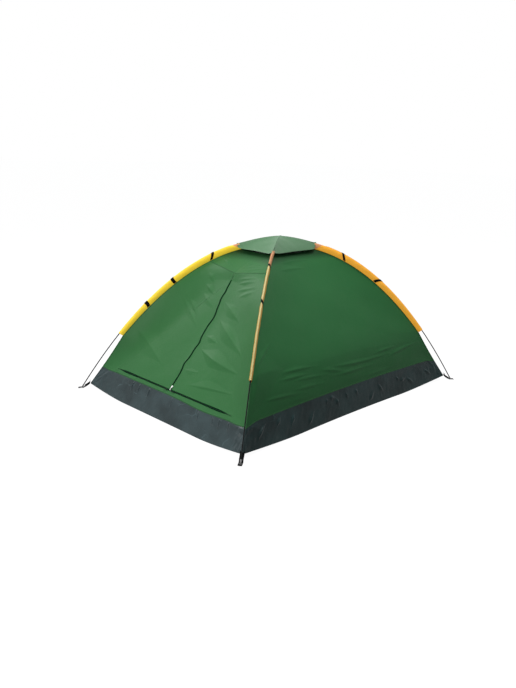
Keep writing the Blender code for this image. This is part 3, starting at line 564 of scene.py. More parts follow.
def bend_with_flap(made, side):
    """Works out the slanted hinge line and the way inward from it, then only bakes the piece's transform."""
    hinge = unit(door_points(side * DOOR_HALF_WIDTH, 0.0) - DOOR_TOP)
    inward = np.cross(DOOR_OUT, hinge) * side
    if inward[0] * side > 0:
        inward = -inward
    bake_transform(made)


# Finishes


class Finish:
    """A node material: one Principled shader, a chain of bumps and a few patterns."""

    def __init__(self, name, colour, roughness, gloss=0.5, metallic=0.0):
        self.material = bpy.data.materials.new(name)
        self.material.use_nodes = True
        self.material.diffuse_color = (*colour, 1.0)
        self.nodes = self.material.node_tree.nodes
        self.links = self.material.node_tree.links
        self.shader = self.nodes["Principled BSDF"]
        self.put("Base Color", (*colour, 1.0))
        self.put("Roughness", roughness)
        self.put("Specular IOR Level", gloss)
        self.put("Metallic", metallic)
        self.place = self.nodes.new("ShaderNodeTexCoord")
        self.last_bump = None

    def put(self, socket, value):
        self.join(value, self.shader.inputs[socket])

    def join(self, value, socket):
        """Links a socket to another one's output, or sets it to a plain value."""
        if isinstance(value, bpy.types.NodeSocket):
            self.links.new(value, socket)
        else:
            socket.default_value = value

    def node(self, kind, settings=(), **inputs):
        """A node with its settings and inputs, which go by name or, as i0 and i1, by number."""
        made = self.nodes.new("ShaderNode" + kind)
        for key, value in settings:
            setattr(made, key, value)
        for key, value in inputs.items():
            numbered = key[0] == "i" and key[1:].isdigit()
            self.join(value, made.inputs[int(key[1:]) if numbered else key])
        return made

    def maths(self, operation, first, second=0.0):
        return self.node("Math", [("operation", operation)], i0=first, i1=second).outputs[0]

    def uv(self):
        split = self.node("SeparateXYZ", i0=self.place.outputs["UV"])
        return split.outputs[0], split.outputs[1]

    def noise(self, scale, detail=3.0, rough=0.5, stretch=(1, 1, 1), source="Object"):
        spot = self.node("Mapping", Vector=self.place.outputs[source], Scale=stretch).outputs[0]
        return self.node("TexNoise", Vector=spot, Scale=scale, Detail=detail, Roughness=rough).outputs[0]

    def wave(self, value, pitch, kind="SINE"):
        return self.maths(kind, self.maths("MULTIPLY", value, 2 * math.pi / pitch))

    def weave(self, pitch):
        """Over and under: the product of two sine waves of the UV map, in metres."""
        u, v = self.uv()
        return self.maths("MULTIPLY", self.wave(u, pitch), self.wave(v, pitch))

    def ramp(self, value, low, high, eased=False):
        """0 at low and 1 at high, straight or eased between them."""
        kind = "SMOOTHSTEP" if eased else "LINEAR"
        return self.node("MapRange", [("interpolation_type", kind)], i0=value, i1=low, i2=high).outputs[0]

    def bump(self, height, distance, strength):
        made = self.node("Bump", Height=height, Distance=distance, Strength=strength)
        if self.last_bump:
            self.join(self.last_bump, made.inputs["Normal"])
        self.last_bump = made.outputs[0]
        self.put("Normal", self.last_bump)

    def tint(self, amount, dark, light):
        """Base colour between a dark and a light one by a pattern from 0 to 1."""
        made = self.node("Mix", [("data_type", "RGBA")], Factor=amount, A=(*dark, 1.0), B=(*light, 1.0))
        self.put("Base Color", made.outputs["Result"])
        return made

    def over(self, below, amount, colour):
        """A further colour laid over a tinted base by a pattern from 0 to 1."""
        made = self.tint(amount, colour, colour)
        self.join(below.outputs["Result"], made.inputs["A"])
        return made


def shade(colour, factor):
    """The colour made lighter or darker by a factor."""
    return tuple(part * factor for part in colour)


def woven_cloth(name, colour, gloss, rough=0.42, pitch=0.0011, painted_cap_shade=1.0, foot=1.0):
    """Coated polyester: a fine plain weave, handling creases and a slight cloudiness of colour.

    Just under the cap the colour falls to the share that the cap-shade argument gives: a painted shadow of
    the cap. Low down, where a wall stands steep, it falls to the share foot: painted shade at the wall's
    foot.
    """
    made = Finish(name, colour, rough, gloss)
    tone_and_painted_shade = made.tint(made.noise(3.2, 4.0), shade(colour, 0.92), shade(colour, 1.08))
    height = made.node("SeparateXYZ", i0=made.place.outputs["Object"]).outputs[2]
    if foot < 1:
        # Painted shade: darker towards the foot of a steep wall, which gets less light.
        tone_and_painted_shade = made.over(tone_and_painted_shade, made.ramp(height, 0.50, 0.16, True), shade(colour, foot))
    if painted_cap_shade < 1:
        # Painted shadow of the cap: the cloth just under it is darker by height.
        made.over(tone_and_painted_shade, made.ramp(height, 0.902, 0.936), shade(colour, painted_cap_shade))
    made.bump(made.noise(22, 4.0, 0.55, (1, 1, 0.6)), 0.0022, 0.5)
    made.bump(made.noise(140, 2.0, 0.6), 0.0004, 0.4)
    made.bump(made.weave(pitch), 0.00006, 0.8)
    return made.material


def coated_tarp(name, colour, gloss):
    """Woven polyethylene: half glossy, with pale crinkles, dark hollows and the squares of its weave."""
    made = Finish(name, colour, 0.34, gloss)
    place = made.place.outputs["Object"]
    wrinkle = made.noise(6, 4.0, 0.6)
    patchy = made.tint(made.ramp(made.noise(5), 0.38, 0.62), shade(colour, 0.70), shade(colour, 1.20))
    warp = made.node("TexNoise", Vector=place, Scale=5.0, Detail=4.0).outputs["Color"]
    bend = made.node("VectorMath", [("operation", "MULTIPLY_ADD")], i0=warp, i1=(0.22, 0.22, 0.22), i2=place)
    to_edge = [("feature", "DISTANCE_TO_EDGE")]
    cells = made.node("TexVoronoi", to_edge, Vector=bend.outputs[0], Scale=8.0).outputs[0]
    # Lighter lines along the crinkles, at twice the tarp's colour.
    pale_crinkle_lines = made.maths("MULTIPLY", made.ramp(cells, 0.030, 0.0), made.ramp(wrinkle, 0.55, 0.68))
    made.over(patchy, pale_crinkle_lines, shade(colour, 2.0))
    made.bump(wrinkle, 0.008, 0.5)
    made.bump(cells, 0.0030, 0.3)
    made.bump(made.weave(0.0026), 0.0001, 0.6)
    return made.material


def webbing(name, colour, pitch=0.0022, gloss=0.05):
    """Webbing: slanting ribs across the tape and a fuzz of fine fibres."""
    made = Finish(name, colour, 0.78, gloss)
    u, v = made.uv()
    rib = made.wave(made.maths("ADD", u, made.maths("PINGPONG", v, 0.0025)), pitch)
    made.tint(made.ramp(rib, -1.0, 1.0), shade(colour, 0.7), shade(colour, 1.6))
    made.bump(made.noise(900, 2.0), 0.0001, 0.4)
    made.bump(rib, 0.0003, 0.8)
    return made.material


def stitched_tape(name, colour, row, thread):
    """A folded tape sewn with two rows of lock stitches: dashes along u, as far from v = 0 as row."""
    made = Finish(name, colour, 0.7, 0.2)
    u, v = made.uv()
    dash = made.maths("LESS_THAN", made.maths("FRACT", made.maths("DIVIDE", u, 0.0036)), 0.66)
    off = made.maths("ABSOLUTE", made.maths("SUBTRACT", made.maths("ABSOLUTE", v), row))
    stitch = made.maths("MULTIPLY", dash, made.maths("LESS_THAN", off, 0.00042))
    made.tint(stitch, colour, thread)
    made.bump(made.noise(60), 0.0006, 0.5)
    made.bump(made.weave(0.0011), 0.00006, 0.7)
    made.bump(stitch, 0.0004, 0.9)
    return made.material


def brushed_metal(name, colour, roughness=0.3):
    """Die-cast or turned metal: fine scratches in the gloss and the slightest dents."""
    made = Finish(name, colour, roughness, metallic=1.0)
    scratch = made.noise(420, 3.0, 0.6, (1, 1, 0.12))
    uneven = made.node("MapRange", i0=scratch, i3=roughness - 0.08, i4=roughness + 0.14)
    made.put("Roughness", uneven.outputs[0])
    made.bump(scratch, 0.0001, 0.4)
    made.bump(made.noise(160, 2.0), 0.0003, 0.3)
    return made.material


def pole_rod(name, colour):
    """Pultruded fibreglass with little gloss: fine lengthwise strands and rubbed patches."""
    made = Finish(name, colour, 0.5, 0.06)
    strand = made.noise(900, 2.0, 0.5, (0.02, 1, 1), "UV")
    made.tint(strand, shade(colour, 0.7), shade(colour, 1.7))
    made.bump(strand, 0.00005, 0.5)
    made.bump(made.noise(70, 2.0), 0.0002, 0.2)
    return made.material


def roof_netting(name, colour, pitch=0.0024):
    """Fine polyester net: round holes on a lattice, painted dark between paler yarns as painted shade of the
    tent's inside.
    """
    made = Finish(name, colour, 0.8)
    across, along = (made.wave(part, pitch, "COSINE") for part in made.uv())
    yarn = made.ramp(made.maths("ADD", across, along), -1.2, 0.6)
    # Painted shade: the holes are dark as the tent's inside would show through them.
    made.tint(yarn, shade(colour, 0.18), shade(colour, 1.5))
    made.bump(yarn, 0.0004, 0.9)
    return made.material


def braided_elastic(name, colour, pitch=2 * math.pi / 2600):
    """The cover of a shock cord: two crossing spirals of yarn."""
    made = Finish(name, colour, 0.75)
    x, y, z = made.node("SeparateXYZ", i0=made.place.outputs["Object"]).outputs
    spiral = made.wave(made.maths("ADD", z, x), pitch)
    braid = made.maths("MULTIPLY", spiral, made.wave(made.maths("SUBTRACT", z, y), pitch))
    made.tint(made.ramp(braid, -1.0, 1.0), shade(colour, 0.6), colour)
    made.bump(braid, 0.0002, 0.7)
    return made.material


# Both greens darken just under the cap: painted shadow of the cap.
GREEN_CLOTH = woven_cloth("green_taffeta", (0.034, 0.145, 0.044), 0.12, painted_cap_shade=0.42)
# Painted shade: the plain walls' copy darkens towards its foot.
WALL_GREEN = woven_cloth("green_taffeta_long_wall", (0.032, 0.158, 0.050), 0.08, painted_cap_shade=0.42, foot=0.63)
CAP_CLOTH = woven_cloth("faded_green_taffeta", (0.083, 0.197, 0.095), 0.32)
TARP = coated_tarp("grey_tarp", (0.040, 0.062, 0.066), 0.18)
# Painted shade: a darker copy of the same tarp for the long sides, which get less light.
SHADED_SIDE_TARP = coated_tarp("grey_tarp_sides_painted_shade", (0.019, 0.039, 0.039), 0.10)
BLACK_WEBBING = webbing("black_webbing", (0.006, 0.006, 0.007))
ZIP_TAPE = webbing("zip_tape_green", (0.001, 0.020, 0.007), 0.0012, 0.03)
ZIP_COIL = woven_cloth("zip_coil_green", (0.001, 0.018, 0.006), 0.08, rough=0.4, pitch=0.0008)
SEAM = stitched_tape("seam_tape_green", (0.020, 0.090, 0.028), 0.0024, (0.04, 0.15, 0.05))
BINDING_CLOTH = stitched_tape("corner_binding", (0.030, 0.130, 0.042), 0.004, (0.05, 0.17, 0.06))
STEEL = brushed_metal("plated_steel", (0.72, 0.72, 0.71))
FERRULE_STEEL = brushed_metal("ferrule_steel", (0.55, 0.55, 0.56), 0.36)
FIBREGLASS = pole_rod("black_fibreglass", (0.010, 0.011, 0.011))
DULL_STEEL = brushed_metal("dull_steel", (0.20, 0.20, 0.20), 0.45)
NETTING = roof_netting("roof_netting", (0.045, 0.080, 0.052))
ELASTIC = braided_elastic("braided_elastic", (0.80, 0.80, 0.78))
DARK_METAL = brushed_metal("painted_slider", (0.012, 0.030, 0.018), 0.4)
# Painted light and shade: each leg's copy of the orange is lighter or darker as light falls on it and shines
# through it.
SLEEVE_LIGHT_AND_SHADE_COLOURS = {
    "front_left": (0.90, 0.62, 0.045),
    "front_right": (0.55, 0.30, 0.05),
    "rear_right": (0.90, 0.41, 0.040),
    "rear_left": (0.90, 0.44, 0.040),
}
# Painted highlight along the front legs' crests and painted shade along the rear legs' crests.
SLEEVE_CREST_HIGHLIGHT_AND_SHADE = {
    "front_left": (0.90, 0.60, 0.10),
    "front_right": (0.60, 0.50, 0.22),
    "rear_right": (0.52, 0.24, 0.05),
    "rear_left": (0.60, 0.30, 0.05),
}
CUFF_COLOUR = (0.57, 0.26, 0.12)
# Painted light: each sleeve glows by emission, at a strength of its own, though it is no lamp.
SLEEVE_GLOW = {"front_left": 0.42, "front_right": 0.04, "rear_right": 0.42, "rear_left": 0.30}
GREEN_LOOK = (GREEN_CLOTH, "green_fabric", WALL_CLOTH)
WALL_LOOK = (WALL_GREEN, "green_fabric", WALL_CLOTH)
TUB_LOOK = (TARP, "floor_sheet", TARP_THICKNESS)
SHADED_TUB_SIDE_LOOK = (SHADED_SIDE_TARP, "floor_sheet", TARP_THICKNESS)
CAP_LOOK = (CAP_CLOTH, "green_fabric", WALL_CLOTH)
NET_LOOK = (NETTING, "net", WALL_CLOTH)
BAND_LOOK = (BLACK_WEBBING, "webbing", BAND_THICKNESS)
STRAP_LOOK = (BLACK_WEBBING, "webbing", STRAP_THICKNESS)
ZIP_LOOK = (ZIP_TAPE, "zip_tape", ZIP_THICKNESS)
TEETH_LOOK = (ZIP_COIL, "zip_tape", TEETH_THICKNESS)


# Walls

# A plain wall: the side that it faces, then its axis, bulge, bow, fullness and the rise of its foot
LONG_WALL = (0, SIDE_BULGE_RUN, SIDE_BULGE_DROP, TUB_BOW_SIDE, SIDE_FULLNESS, SIDE_SEAM_RISE)
BACK_WALL = (1, END_BULGE_RUN, END_BULGE_DROP, TUB_BOW_END, END_FULLNESS, 0.0)
WALLS = {"back": (1, *BACK_WALL), "left": (-1, *LONG_WALL), "right": (1, *LONG_WALL)}


def plain_wall(side, columns, rows):
    """A saddle between two corner seams; its foot is lifted by rise away from the corners.

    The middle line is a quadratic Bezier curve from the tub to the roof. Across, a row leaves it with
    the square of the share of the width, in depth and in height, and ends on the corner seam. The
    cloth is also a little full: it stands out by fullness at a third of the climb, where x(1 - x)^2
    is 1 / 6.75.
    """
    facing, depth_axis, bulge_run, bulge_drop, tub_bow, fullness, rise = WALLS[side]
    share = np.linspace(-1, 1, columns)[None, :]
    level = np.linspace(0, 1, rows)[:, None]
    level = level + (1 - level) * rise * smooth(1 - np.abs(share), 0, 0.10)
    run, height = seam_at(TUB_REACH + (ROOF_REACH - TUB_REACH) * level)
    along, other = (ALONG_X, ALONG_Y) if depth_axis == 0 else (ALONG_Y, ALONG_X)
    foot = np.array((TUB_TOP_RUN * along - tub_bow, TUB_HEIGHT))
    control = np.array((bulge_run, ROOF_HEIGHT - bulge_drop))
    top = np.array((ROOF_CORNER_RUN * along - ROOF_BOW, ROOF_HEIGHT - ROOF_SAG))
    level = level[..., None]
    middle = foot * (1 - level) ** 2 + control * 2 * level * (1 - level) + top * level**2
    depth = middle[..., 0] + (run * along - middle[..., 0]) * share**2
    tall = middle[..., 1] + (height - middle[..., 1]) * share**2
    climbed = 1 - (1 - level[..., 0]) ** 1.6
    full = fullness * 6.75 * climbed * (1 - climbed) ** 2 * (1 - share**2)
    depth, tall = depth + full * FULLNESS_WAY[0], tall + full * FULLNESS_WAY[1]
    across = run * other * share
    flat = (facing * depth, across) if depth_axis == 0 else (across, facing * depth)
    points = np.stack((*flat, tall), axis=-1)
    climb = np.linalg.norm(np.diff(middle, axis=0), axis=2)
    climb = np.vstack((0 * climb[:1], np.cumsum(climb, axis=0))) + rise * 0.97
    uv = grid_of(across, climb)
    level = level[..., 0]
    held = smooth(1 - np.abs(share), 0, 0.07) * smooth(level, 0.012, 0.05) * smooth(1 - level, 0, 0.06)
    return points, uv, held


def make_plain_wall(side, lines, seed, columns, rows, mirror=1):
    """A wall with its folds and its slack; mirror -1 turns the folds round."""
    points, uv, held = plain_wall(side, columns, rows)
    points = creased(points, uv, held, lines, (seed, 9, 0.20, 0.60, 0.0016), mirror)
    cloth(side + "_wall", [(points, uv)], WALL_LOOK)


def door_wall(side, share, level):
    """The door wall beyond the door's slanted edge.

    level is -1 at the tub, 0 at the hem of the door and 1 at the upper seam. From the edge to the
    corner a row leaves the door's plane with a power of the share. Over the lintel it changes to the
    roof panel's rows, which are straight in X and Z and hollow in Y.
    """
    low = TUB_REACH + (HEM_REACH - TUB_REACH) * (1 + level)
    high = HEM_REACH + (UPPER_SEAM_REACH - HEM_REACH) * level
    corner = leg_points((side, -1), *seam_at(np.where(level < 0, low, high)))
    up = DOOR_RISE * np.clip(level / LINTEL_SHARE, 0, 1)
    drop = DOOR_SILL / DOOR_UP[2] * np.clip(level, -1, 0)
    lintel = np.clip((level - LINTEL_SHARE) / (1 - LINTEL_SHARE), 0, 1)
    start = door_points(side * door_half_width(up), up + drop)
    start = start + lintel[..., None] * (UPPER_SEAM_MIDDLE - DOOR_TOP)
    part = grid_of(share, share**PANEL_HOLLOW, share)
    away = corner - start
    out = (away @ DOOR_OUT)[..., None] * DOOR_OUT
    curled = start + (away - out) * share[..., None] + out * (share**WING_CURL)[..., None]
    points = curled + (start + away * part - curled) * lintel[..., None]
    return points - front_sag(points[..., 0], level)[..., None] * DOOR_UP


def front_sag(across, level):
    """How far the tub's seam hangs down the door wall: evenly, with a dip right of the middle."""
    corner = 1 - np.abs(across) / (TUB_TOP_RUN * ALONG_X)
    sag = FRONT_SEAM_SAG + FRONT_SEAM_DIP * bell(across - FRONT_DIP_PLACE, FRONT_DIP_WIDTH)
    return sag * smooth(corner, 0, 0.12) * np.clip(-level, 0, 1)


def sill_points(columns, level):
    """The strip of the door wall between the hem of the door and the tub."""
    across = np.linspace(-1, 1, columns)[None, :] * DOOR_HALF_WIDTH
    sag = front_sag(across, level)
    return door_points(across, DOOR_SILL / DOOR_UP[2] * level - sag)


def door_uv(points):
    """Across and up in the door's own plane."""
    return np.stack((points[..., 0], (points - DOOR_FOOT) @ DOOR_UP), axis=-1)


def door_cloth_height(u, v):
    """How far the door wall stands off its plane: creases, slack and a shallow hollow at the zip."""
    height = folds(u, v, DOOR_FOLDS) + slack(u, v, 5, 9, 0.16, 0.50, 0.0014)
    near = bell(u, 0.02) * smooth(v, 0.76, 0.70)
    height = height * (1 - 0.75 * near)
    hollow = -0.006 * bell(u, 0.14) * smooth(v, 0.06, 0.34) * smooth(v, 0.72, 0.45)
    return (height + hollow) * smooth(v, 0.012, 0.10)


def zip_wave(u, v):
    """How far the zip wanders sideways: bell curves of the height, fading away from the zip."""
    wave = sum(shift * bell(v - middle, width) for middle, width, shift in ZIP_BENDS)
    return wave * smooth(v, 0.03, 0.09) * smooth(v, 0.75, 0.69) * bell(u, 0.10)


def on_door_cloth(across, up, lift=0.0):
    """Points on the creased door, moved sideways with the zip and standing lift above the cloth."""
    height = door_cloth_height(across, up) + lift
    return door_points(across + zip_wave(across, up), up, height)


def make_door_wall():
    """Two wings round the door, joined by the sill below it and by the lintel above it."""
    share = np.linspace(0, 1, 90)[None, :]
    sill = np.linspace(-1, 0, 8)
    door = np.linspace(0, LINTEL_SHARE, 130)[1:]
    level = np.concatenate((sill, door, np.linspace(LINTEL_SHARE, 1, 16)[1:]))[:, None]
    patches = []
    for side in (-1, 1):
        points = door_wall(side, share, level)
        uv = door_uv(points)
        held = smooth(1 - share, 0, 0.10) * smooth(1 - level, 0, 0.08)
        height = door_cloth_height(uv[..., 0], uv[..., 1]) * held
        patches.append((points + height[..., None] * DOOR_OUT, uv))
    points = sill_points(160, sill[:, None])
    patches.append((points, door_uv(points)))
    cloth("front_wall", patches, GREEN_LOOK)


def make_flap(side):
    """A door flap from the zip to its slanted hinge line, where it meets the fixed cloth."""
    up = np.linspace(FLAP_GAP, DOOR_RISE - FLAP_TIP_CUT, 190)[:, None]
    across = side * (FLAP_EDGE + (door_half_width(up) - FLAP_EDGE) * np.linspace(0, 1, 84))
    patches = [(on_door_cloth(across, up), grid_of(across, up))]
    name = "door_flap_" + FLAP_NAMES[side]
    cloth(name, patches, GREEN_LOOK, flap=side)


def roof_panel():
    """From the upper seam to the roof opening; its rows change from the door wall's to a saddle."""
    share = np.linspace(-1, 1, 180)[None, :]
    level = np.linspace(0, 1, 44)[:, None]
    corner = leg_points((1, -1), *seam_at(UPPER_SEAM_REACH + (ROOF_REACH - UPPER_SEAM_REACH) * level))
    top = np.array((0, ROOF_BOW - ROOF_CORNER_RUN * ALONG_Y, ROOF_HEIGHT - ROOF_SAG))
    start = UPPER_SEAM_MIDDLE + (top - UPPER_SEAM_MIDDLE) * level[..., None]
    away = np.abs(share)
    deep = away ** (PANEL_HOLLOW + (2 - PANEL_HOLLOW) * level)
    part = grid_of(share, deep, away ** (1 + level))
    points = start + (corner - start) * part
    uv = grid_of(points[..., 0], level * ROOF_PANEL_LENGTH)
    held = smooth(1 - away, 0, 0.1) * smooth(level, 0, 0.15) * smooth(1 - level, 0, 0.15)
    return points, uv, held


def make_roof_panel():
    """The roof panel with its folds and its slack."""
    points, uv, held = roof_panel()
    points = creased(points, uv, held, ROOF_PANEL_FOLDS, (8, 7, 0.10, 0.30, 0.0012))
    cloth("front_roof_panel", [(points, uv)], GREEN_LOOK)


# Tub

LONG_SIDES = ("left", "right")


def floor_points(u, v):
    """The floor over the square -1..1: both sides bow inwards and the corners lift."""
    x = u * (FLOOR_WIDTH / 2 - FLOOR_BOW_SIDE * (1 - v * v))
    y = v * (FLOOR_LENGTH / 2 - FLOOR_BOW_END * (1 - u * u))
    lift = np.maximum(0.0, np.abs(u * v) - 0.5) / 0.5
    return np.stack((x, y, CORNER_LIFT * lift**1.5), axis=-1)


def front_foot(levels, wing, sill):
    """Whole rows of the front below the door: one wing, the sill and the other wing."""
    level = np.array(levels)[:, None]
    share = np.linspace(0, 1, wing)[None, :]
    left, right = door_wall(-1, share, level)[:, ::-1], door_wall(1, share, level)
    return np.concatenate((left, sill_points(sill, level)[:, 1:-1], right), axis=1)


def wall_foot(side, columns):
    """The lowest row of a wall, on which the tub's side ends."""
    if side == "front":
        return front_foot((-1.0,), columns // 9, columns)[0]
    return plain_wall(side, columns, 3)[0][0]


def tub_side(side, columns, rows):
    """One folded-up side: straight between the floor's edge and the foot of the wall."""
    top = wall_foot(side, columns)
    axis = 1 if side in LONG_SIDES else 0
    share = top[:, axis] / (TUB_TOP_RUN * (ALONG_X, ALONG_Y)[axis])
    edge = np.full_like(share, -1.0 if side in ("left", "front") else 1.0)
    low = floor_points(edge, share) if axis else floor_points(share, edge)
    level = np.linspace(0, 1, rows)[:, None]
    points = low + (top - low) * level[..., None]
    return points, grid_of(low[:, axis], level * TUB_HEIGHT), np.abs(share)[None, :]


def crumple(u, v, seed):
    """Storage creases of the tarp: coarse and fine flat facets, the fine ones turned."""
    coarse = facets(u * 1.1 + 0.5 * v, v * 1.2 - 0.3 * u, COARSE_CREASE, seed)
    fine = facets(v + 0.7 * u, u - v, FINE_CREASE, seed + 9)
    return 0.0055 * coarse + 0.0024 * fine


def puckers(u, v):
    """Short stitched puckers under the door's sill: bell curves across that fade downwards."""
    height = np.zeros_like(u)
    for number, place in enumerate(PUCKERS):
        slant = place + PUCKER_SLANT * (0.14 - v) * (1 if number % 2 else -0.5)
        height += PUCKER_HEIGHT * bell(u - slant, PUCKER_WIDTH)
    return height * smooth(v, 0.085, 0.12) * smooth(v, 0.147, 0.135)


def make_ground_sheet():
    """The tub's ground part: the floor over its square, with faint facets away from the edges."""
    u, v = np.meshgrid(np.linspace(-1, 1, 110), np.linspace(-1, 1, 150))
    points = floor_points(u, v)
    uv = points[..., :2].copy()
    held = smooth(1 - np.abs(u), 0, 0.1) * smooth(1 - np.abs(v), 0, 0.1)
    points[..., 2] += 0.0012 * np.abs(facets(uv[..., 0], uv[..., 1], 0.13, 3)) * held
    cloth("tub_floor_sheet", [(points, uv)], TUB_LOOK, ["tub_floor"])


def make_tub_side(side, seed):
    """A side of the tub, crumpled: more on the long sides and near the corners."""
    long_side = side in LONG_SIDES
    points, uv, away = tub_side(side, 560, 36)
    u, v = uv[..., 0], uv[..., 1]
    near = smooth(away, 0.84, 0.97)
    rough = 0.14 + 0.5 * near if long_side else 0.10 + 0.9 * near
    bent = slack(u, v, 41, 5, 0.15, 0.40, 0.02)
    height = crumple(u + bent, v + 0.7 * bent, seed) * rough
    if side == "front":
        height += puckers(u, v)
    elif long_side:
        height += folds(u if side == "right" else -u, v, TUB_FOLDS)
    held = smooth(v, 0, 0.02) * smooth(v, 0.15, 0.138) * smooth(1 - away, 0, 0.02)
    patches = [(displaced(points, height * held), uv)]
    # The long sides take the darker copy of the tarp: painted shade.
    look = SHADED_TUB_SIDE_LOOK if long_side else TUB_LOOK
    cloth("tub_side_" + side, patches, look, ["tub_floor"])


# Roof


def square_rings(rings, per_side):
    """Rings of a square from its middle out: a and b run over its edge, scaled by the ring."""
    edge = np.linspace(-1, 1, per_side, endpoint=False)
    one = np.ones_like(edge)
    a = np.concatenate((edge, one, -edge, -one, [-1.0]))
    b = np.concatenate((-one, edge, one, -edge, [-1.0]))
    ring = np.linspace(0, 1, rings)[:, None]
    return ring * a, ring * b, ring + 0 * a


def make_net():
    """The net over the roof opening: bowed edges, and a sag that falls with the square of the ring."""
    a, b, ring = square_rings(26, 30)
    x = a * (ROOF_CORNER_RUN * ALONG_X - ROOF_BOW * (1 - b * b))
    y = b * (ROOF_CORNER_RUN * ALONG_Y - ROOF_BOW * (1 - a * a))
    z = ROOF_HEIGHT - ROOF_SAG - NET_SAG * (1 - ring**2) + ROOF_SAG * (a * b) ** 2
    patches = [(grid_of(x, y, z), grid_of(x, y))]
    cloth("roof_vent_net", patches, NET_LOOK)


def diagonal_share(a, b):
    """1 on the diagonals of the square, falling to 0 on its middle lines."""
    away = np.maximum(np.abs(a), np.abs(b))
    return np.divide(np.minimum(np.abs(a), np.abs(b)), away, out=np.zeros_like(a), where=away > 0)


def cap_points(a, b, ring):
    """The cap: ridges over the poles, valleys between them and a hem that bows inwards.

    The corners are cut square to the poles: past a run of its own, each keeps the share CAP_DRAW.
    """
    corner = sleeve_point(CAP_RUN, sleeve_depth(CAP_RUN))[1] + CAP_SEAT - CAP_PRESS
    x = a * (CAP_RUN * ALONG_X - CAP_BOW_SIDE * (1 - b * b) * ring**2)
    y = b * (CAP_RUN * ALONG_Y - CAP_BOW_END * (1 - a * a) * ring**2)
    ridge = CAP_APEX - (CAP_APEX - corner) * ring**CAP_RIDGE_POWER
    valley = CAP_APEX - CAP_HEM_DROP * ring**CAP_VALLEY_POWER
    fold = diagonal_share(a, b) ** (1 + CAP_FOLD_POWER * ring)
    points = grid_of(x, y, valley + (ridge - valley) * fold)
    run = np.abs(points[..., 0]) * ALONG_X + np.abs(points[..., 1]) * ALONG_Y
    low = np.zeros_like(a)
    for name, leg in LEGS.items():
        low[(a * leg[0] >= 0) & (b * leg[1] >= 0)] = (CAP_TIPS[name] - CAP_DRAW * CAP_RUN) / (1 - CAP_DRAW)
    short = np.where(run > low, low + (run - low) * CAP_DRAW, run)
    points[..., :2] *= (short / np.maximum(run, 1e-6))[..., None]
    points[..., 2] += CAP_FALL * (run - short)
    return points


def make_cap():
    """The cap, with a little slack between its ridges, and the tape along its hem."""
    a, b, ring = square_rings(60, 64)
    points = cap_points(a, b, ring)
    u, v = points[..., 0], points[..., 1]
    held = smooth(1 - diagonal_share(a, b), 0, 0.25) * smooth(ring, 0.05, 0.3) * smooth(1 - ring, 0, 0.06)
    points[..., 2] += slack(u, v, 21, 7, 0.06, 0.20, 0.0012) * held
    patches = [(points, points[..., :2])]
    cloth("vent_cap", patches, CAP_LOOK)
    make_tape("cap_hem", points[-1], points[-5], CAP_HEM_TAPE, CAP_CLOTH, lift=0.0006)


# Seams


def make_tape(name, line, towards, width, material, lift=0.0008):
    """A flat tape along a line, laid on the cloth towards a second line, with a low crown."""
    side = unit(towards - line)
    up = unit(np.cross(np.gradient(line, axis=0), side))
    if (up * (line - INSIDE)).sum() < 0:
        up = -up
    across = np.linspace(-0.02, 1, 7)[:, None]
    crown = lift * (1 - (2 * across - 1) ** 4 * 0.6)
    points = line + side * (width * across)[..., None] + up * crown[..., None]
    uv = grid_of(length_along(line), width * (across - 0.5))
    strip(name, [(points, uv)], (material, "green_fabric", lift * 0.8))


def make_seams():
    """Tapes over the seams: round the tub's top, under the roof panel and down the four corners."""
    feet = {side: plain_wall(side, 160, 90)[0] for side in WALLS}
    feet["front"] = front_foot((-1.0, -0.7), 20, 80)
    for side, rows in feet.items():
        make_tape("tub_seam_" + side, rows[0], rows[1], SEAM_TAPE * 0.7, SEAM)
    rows = roof_panel()[0]
    make_tape("upper_seam", rows[0], rows[2], SEAM_TAPE * 0.8, SEAM)
    bound = (BINDING_CLOTH, "green_fabric", BINDING_THICKNESS)
    # The tub's corner bindings take the darker copy of the tarp: painted shade.
    tarp = (SHADED_SIDE_TARP, "floor_sheet", BINDING_THICKNESS)
    for name, leg in LEGS.items():
        make_binding("corner_binding_" + name, leg, TUB_REACH - 0.002, ROOF_REACH, bound)
        make_binding("tub_binding_" + name, leg, 0.004, TUB_REACH - 0.003, tarp)


def make_binding(name, leg, low, high, look):
    """The bound corner seam: a narrow strip folded over the edge where two sheets meet."""
    reach = np.linspace(low, high, 160)
    outward = leg_points(leg, 1.0, 0.0)
    line = leg_points(leg, *seam_at(reach)) + outward * 0.0009
    x_way = np.array((-leg[0], 0.0, 0.0)) + 0.30 * outward
    y_way = np.array((0.0, -leg[1], 0.0)) + 0.30 * outward
    half = BINDING * 0.62
    profile = (x_way * half, x_way * half * 0.45, outward * 0.0016, y_way * half * 0.45, y_way * half)
    uv = grid_of(reach, np.linspace(-BINDING, BINDING, 5)[:, None])
    strip(name, [(np.stack([line + step for step in profile]), uv)], look)


# Sleeves, bands, poles


def sleeve_ring(run, angles, grow=0.0):
    """A sleeve's cross-section: a long drop that is narrow at the seam, and a little uneven."""
    fullness = (1 - np.cos(angles)) / 2
    up = 0.0005 + (sleeve_depth(run) - 0.0005) * fullness
    side = (SLEEVE_HALF_WIDTH + grow) * np.sin(angles) * fullness**0.4
    return up + grow * np.clip(-np.cos(angles), 0, 1), side


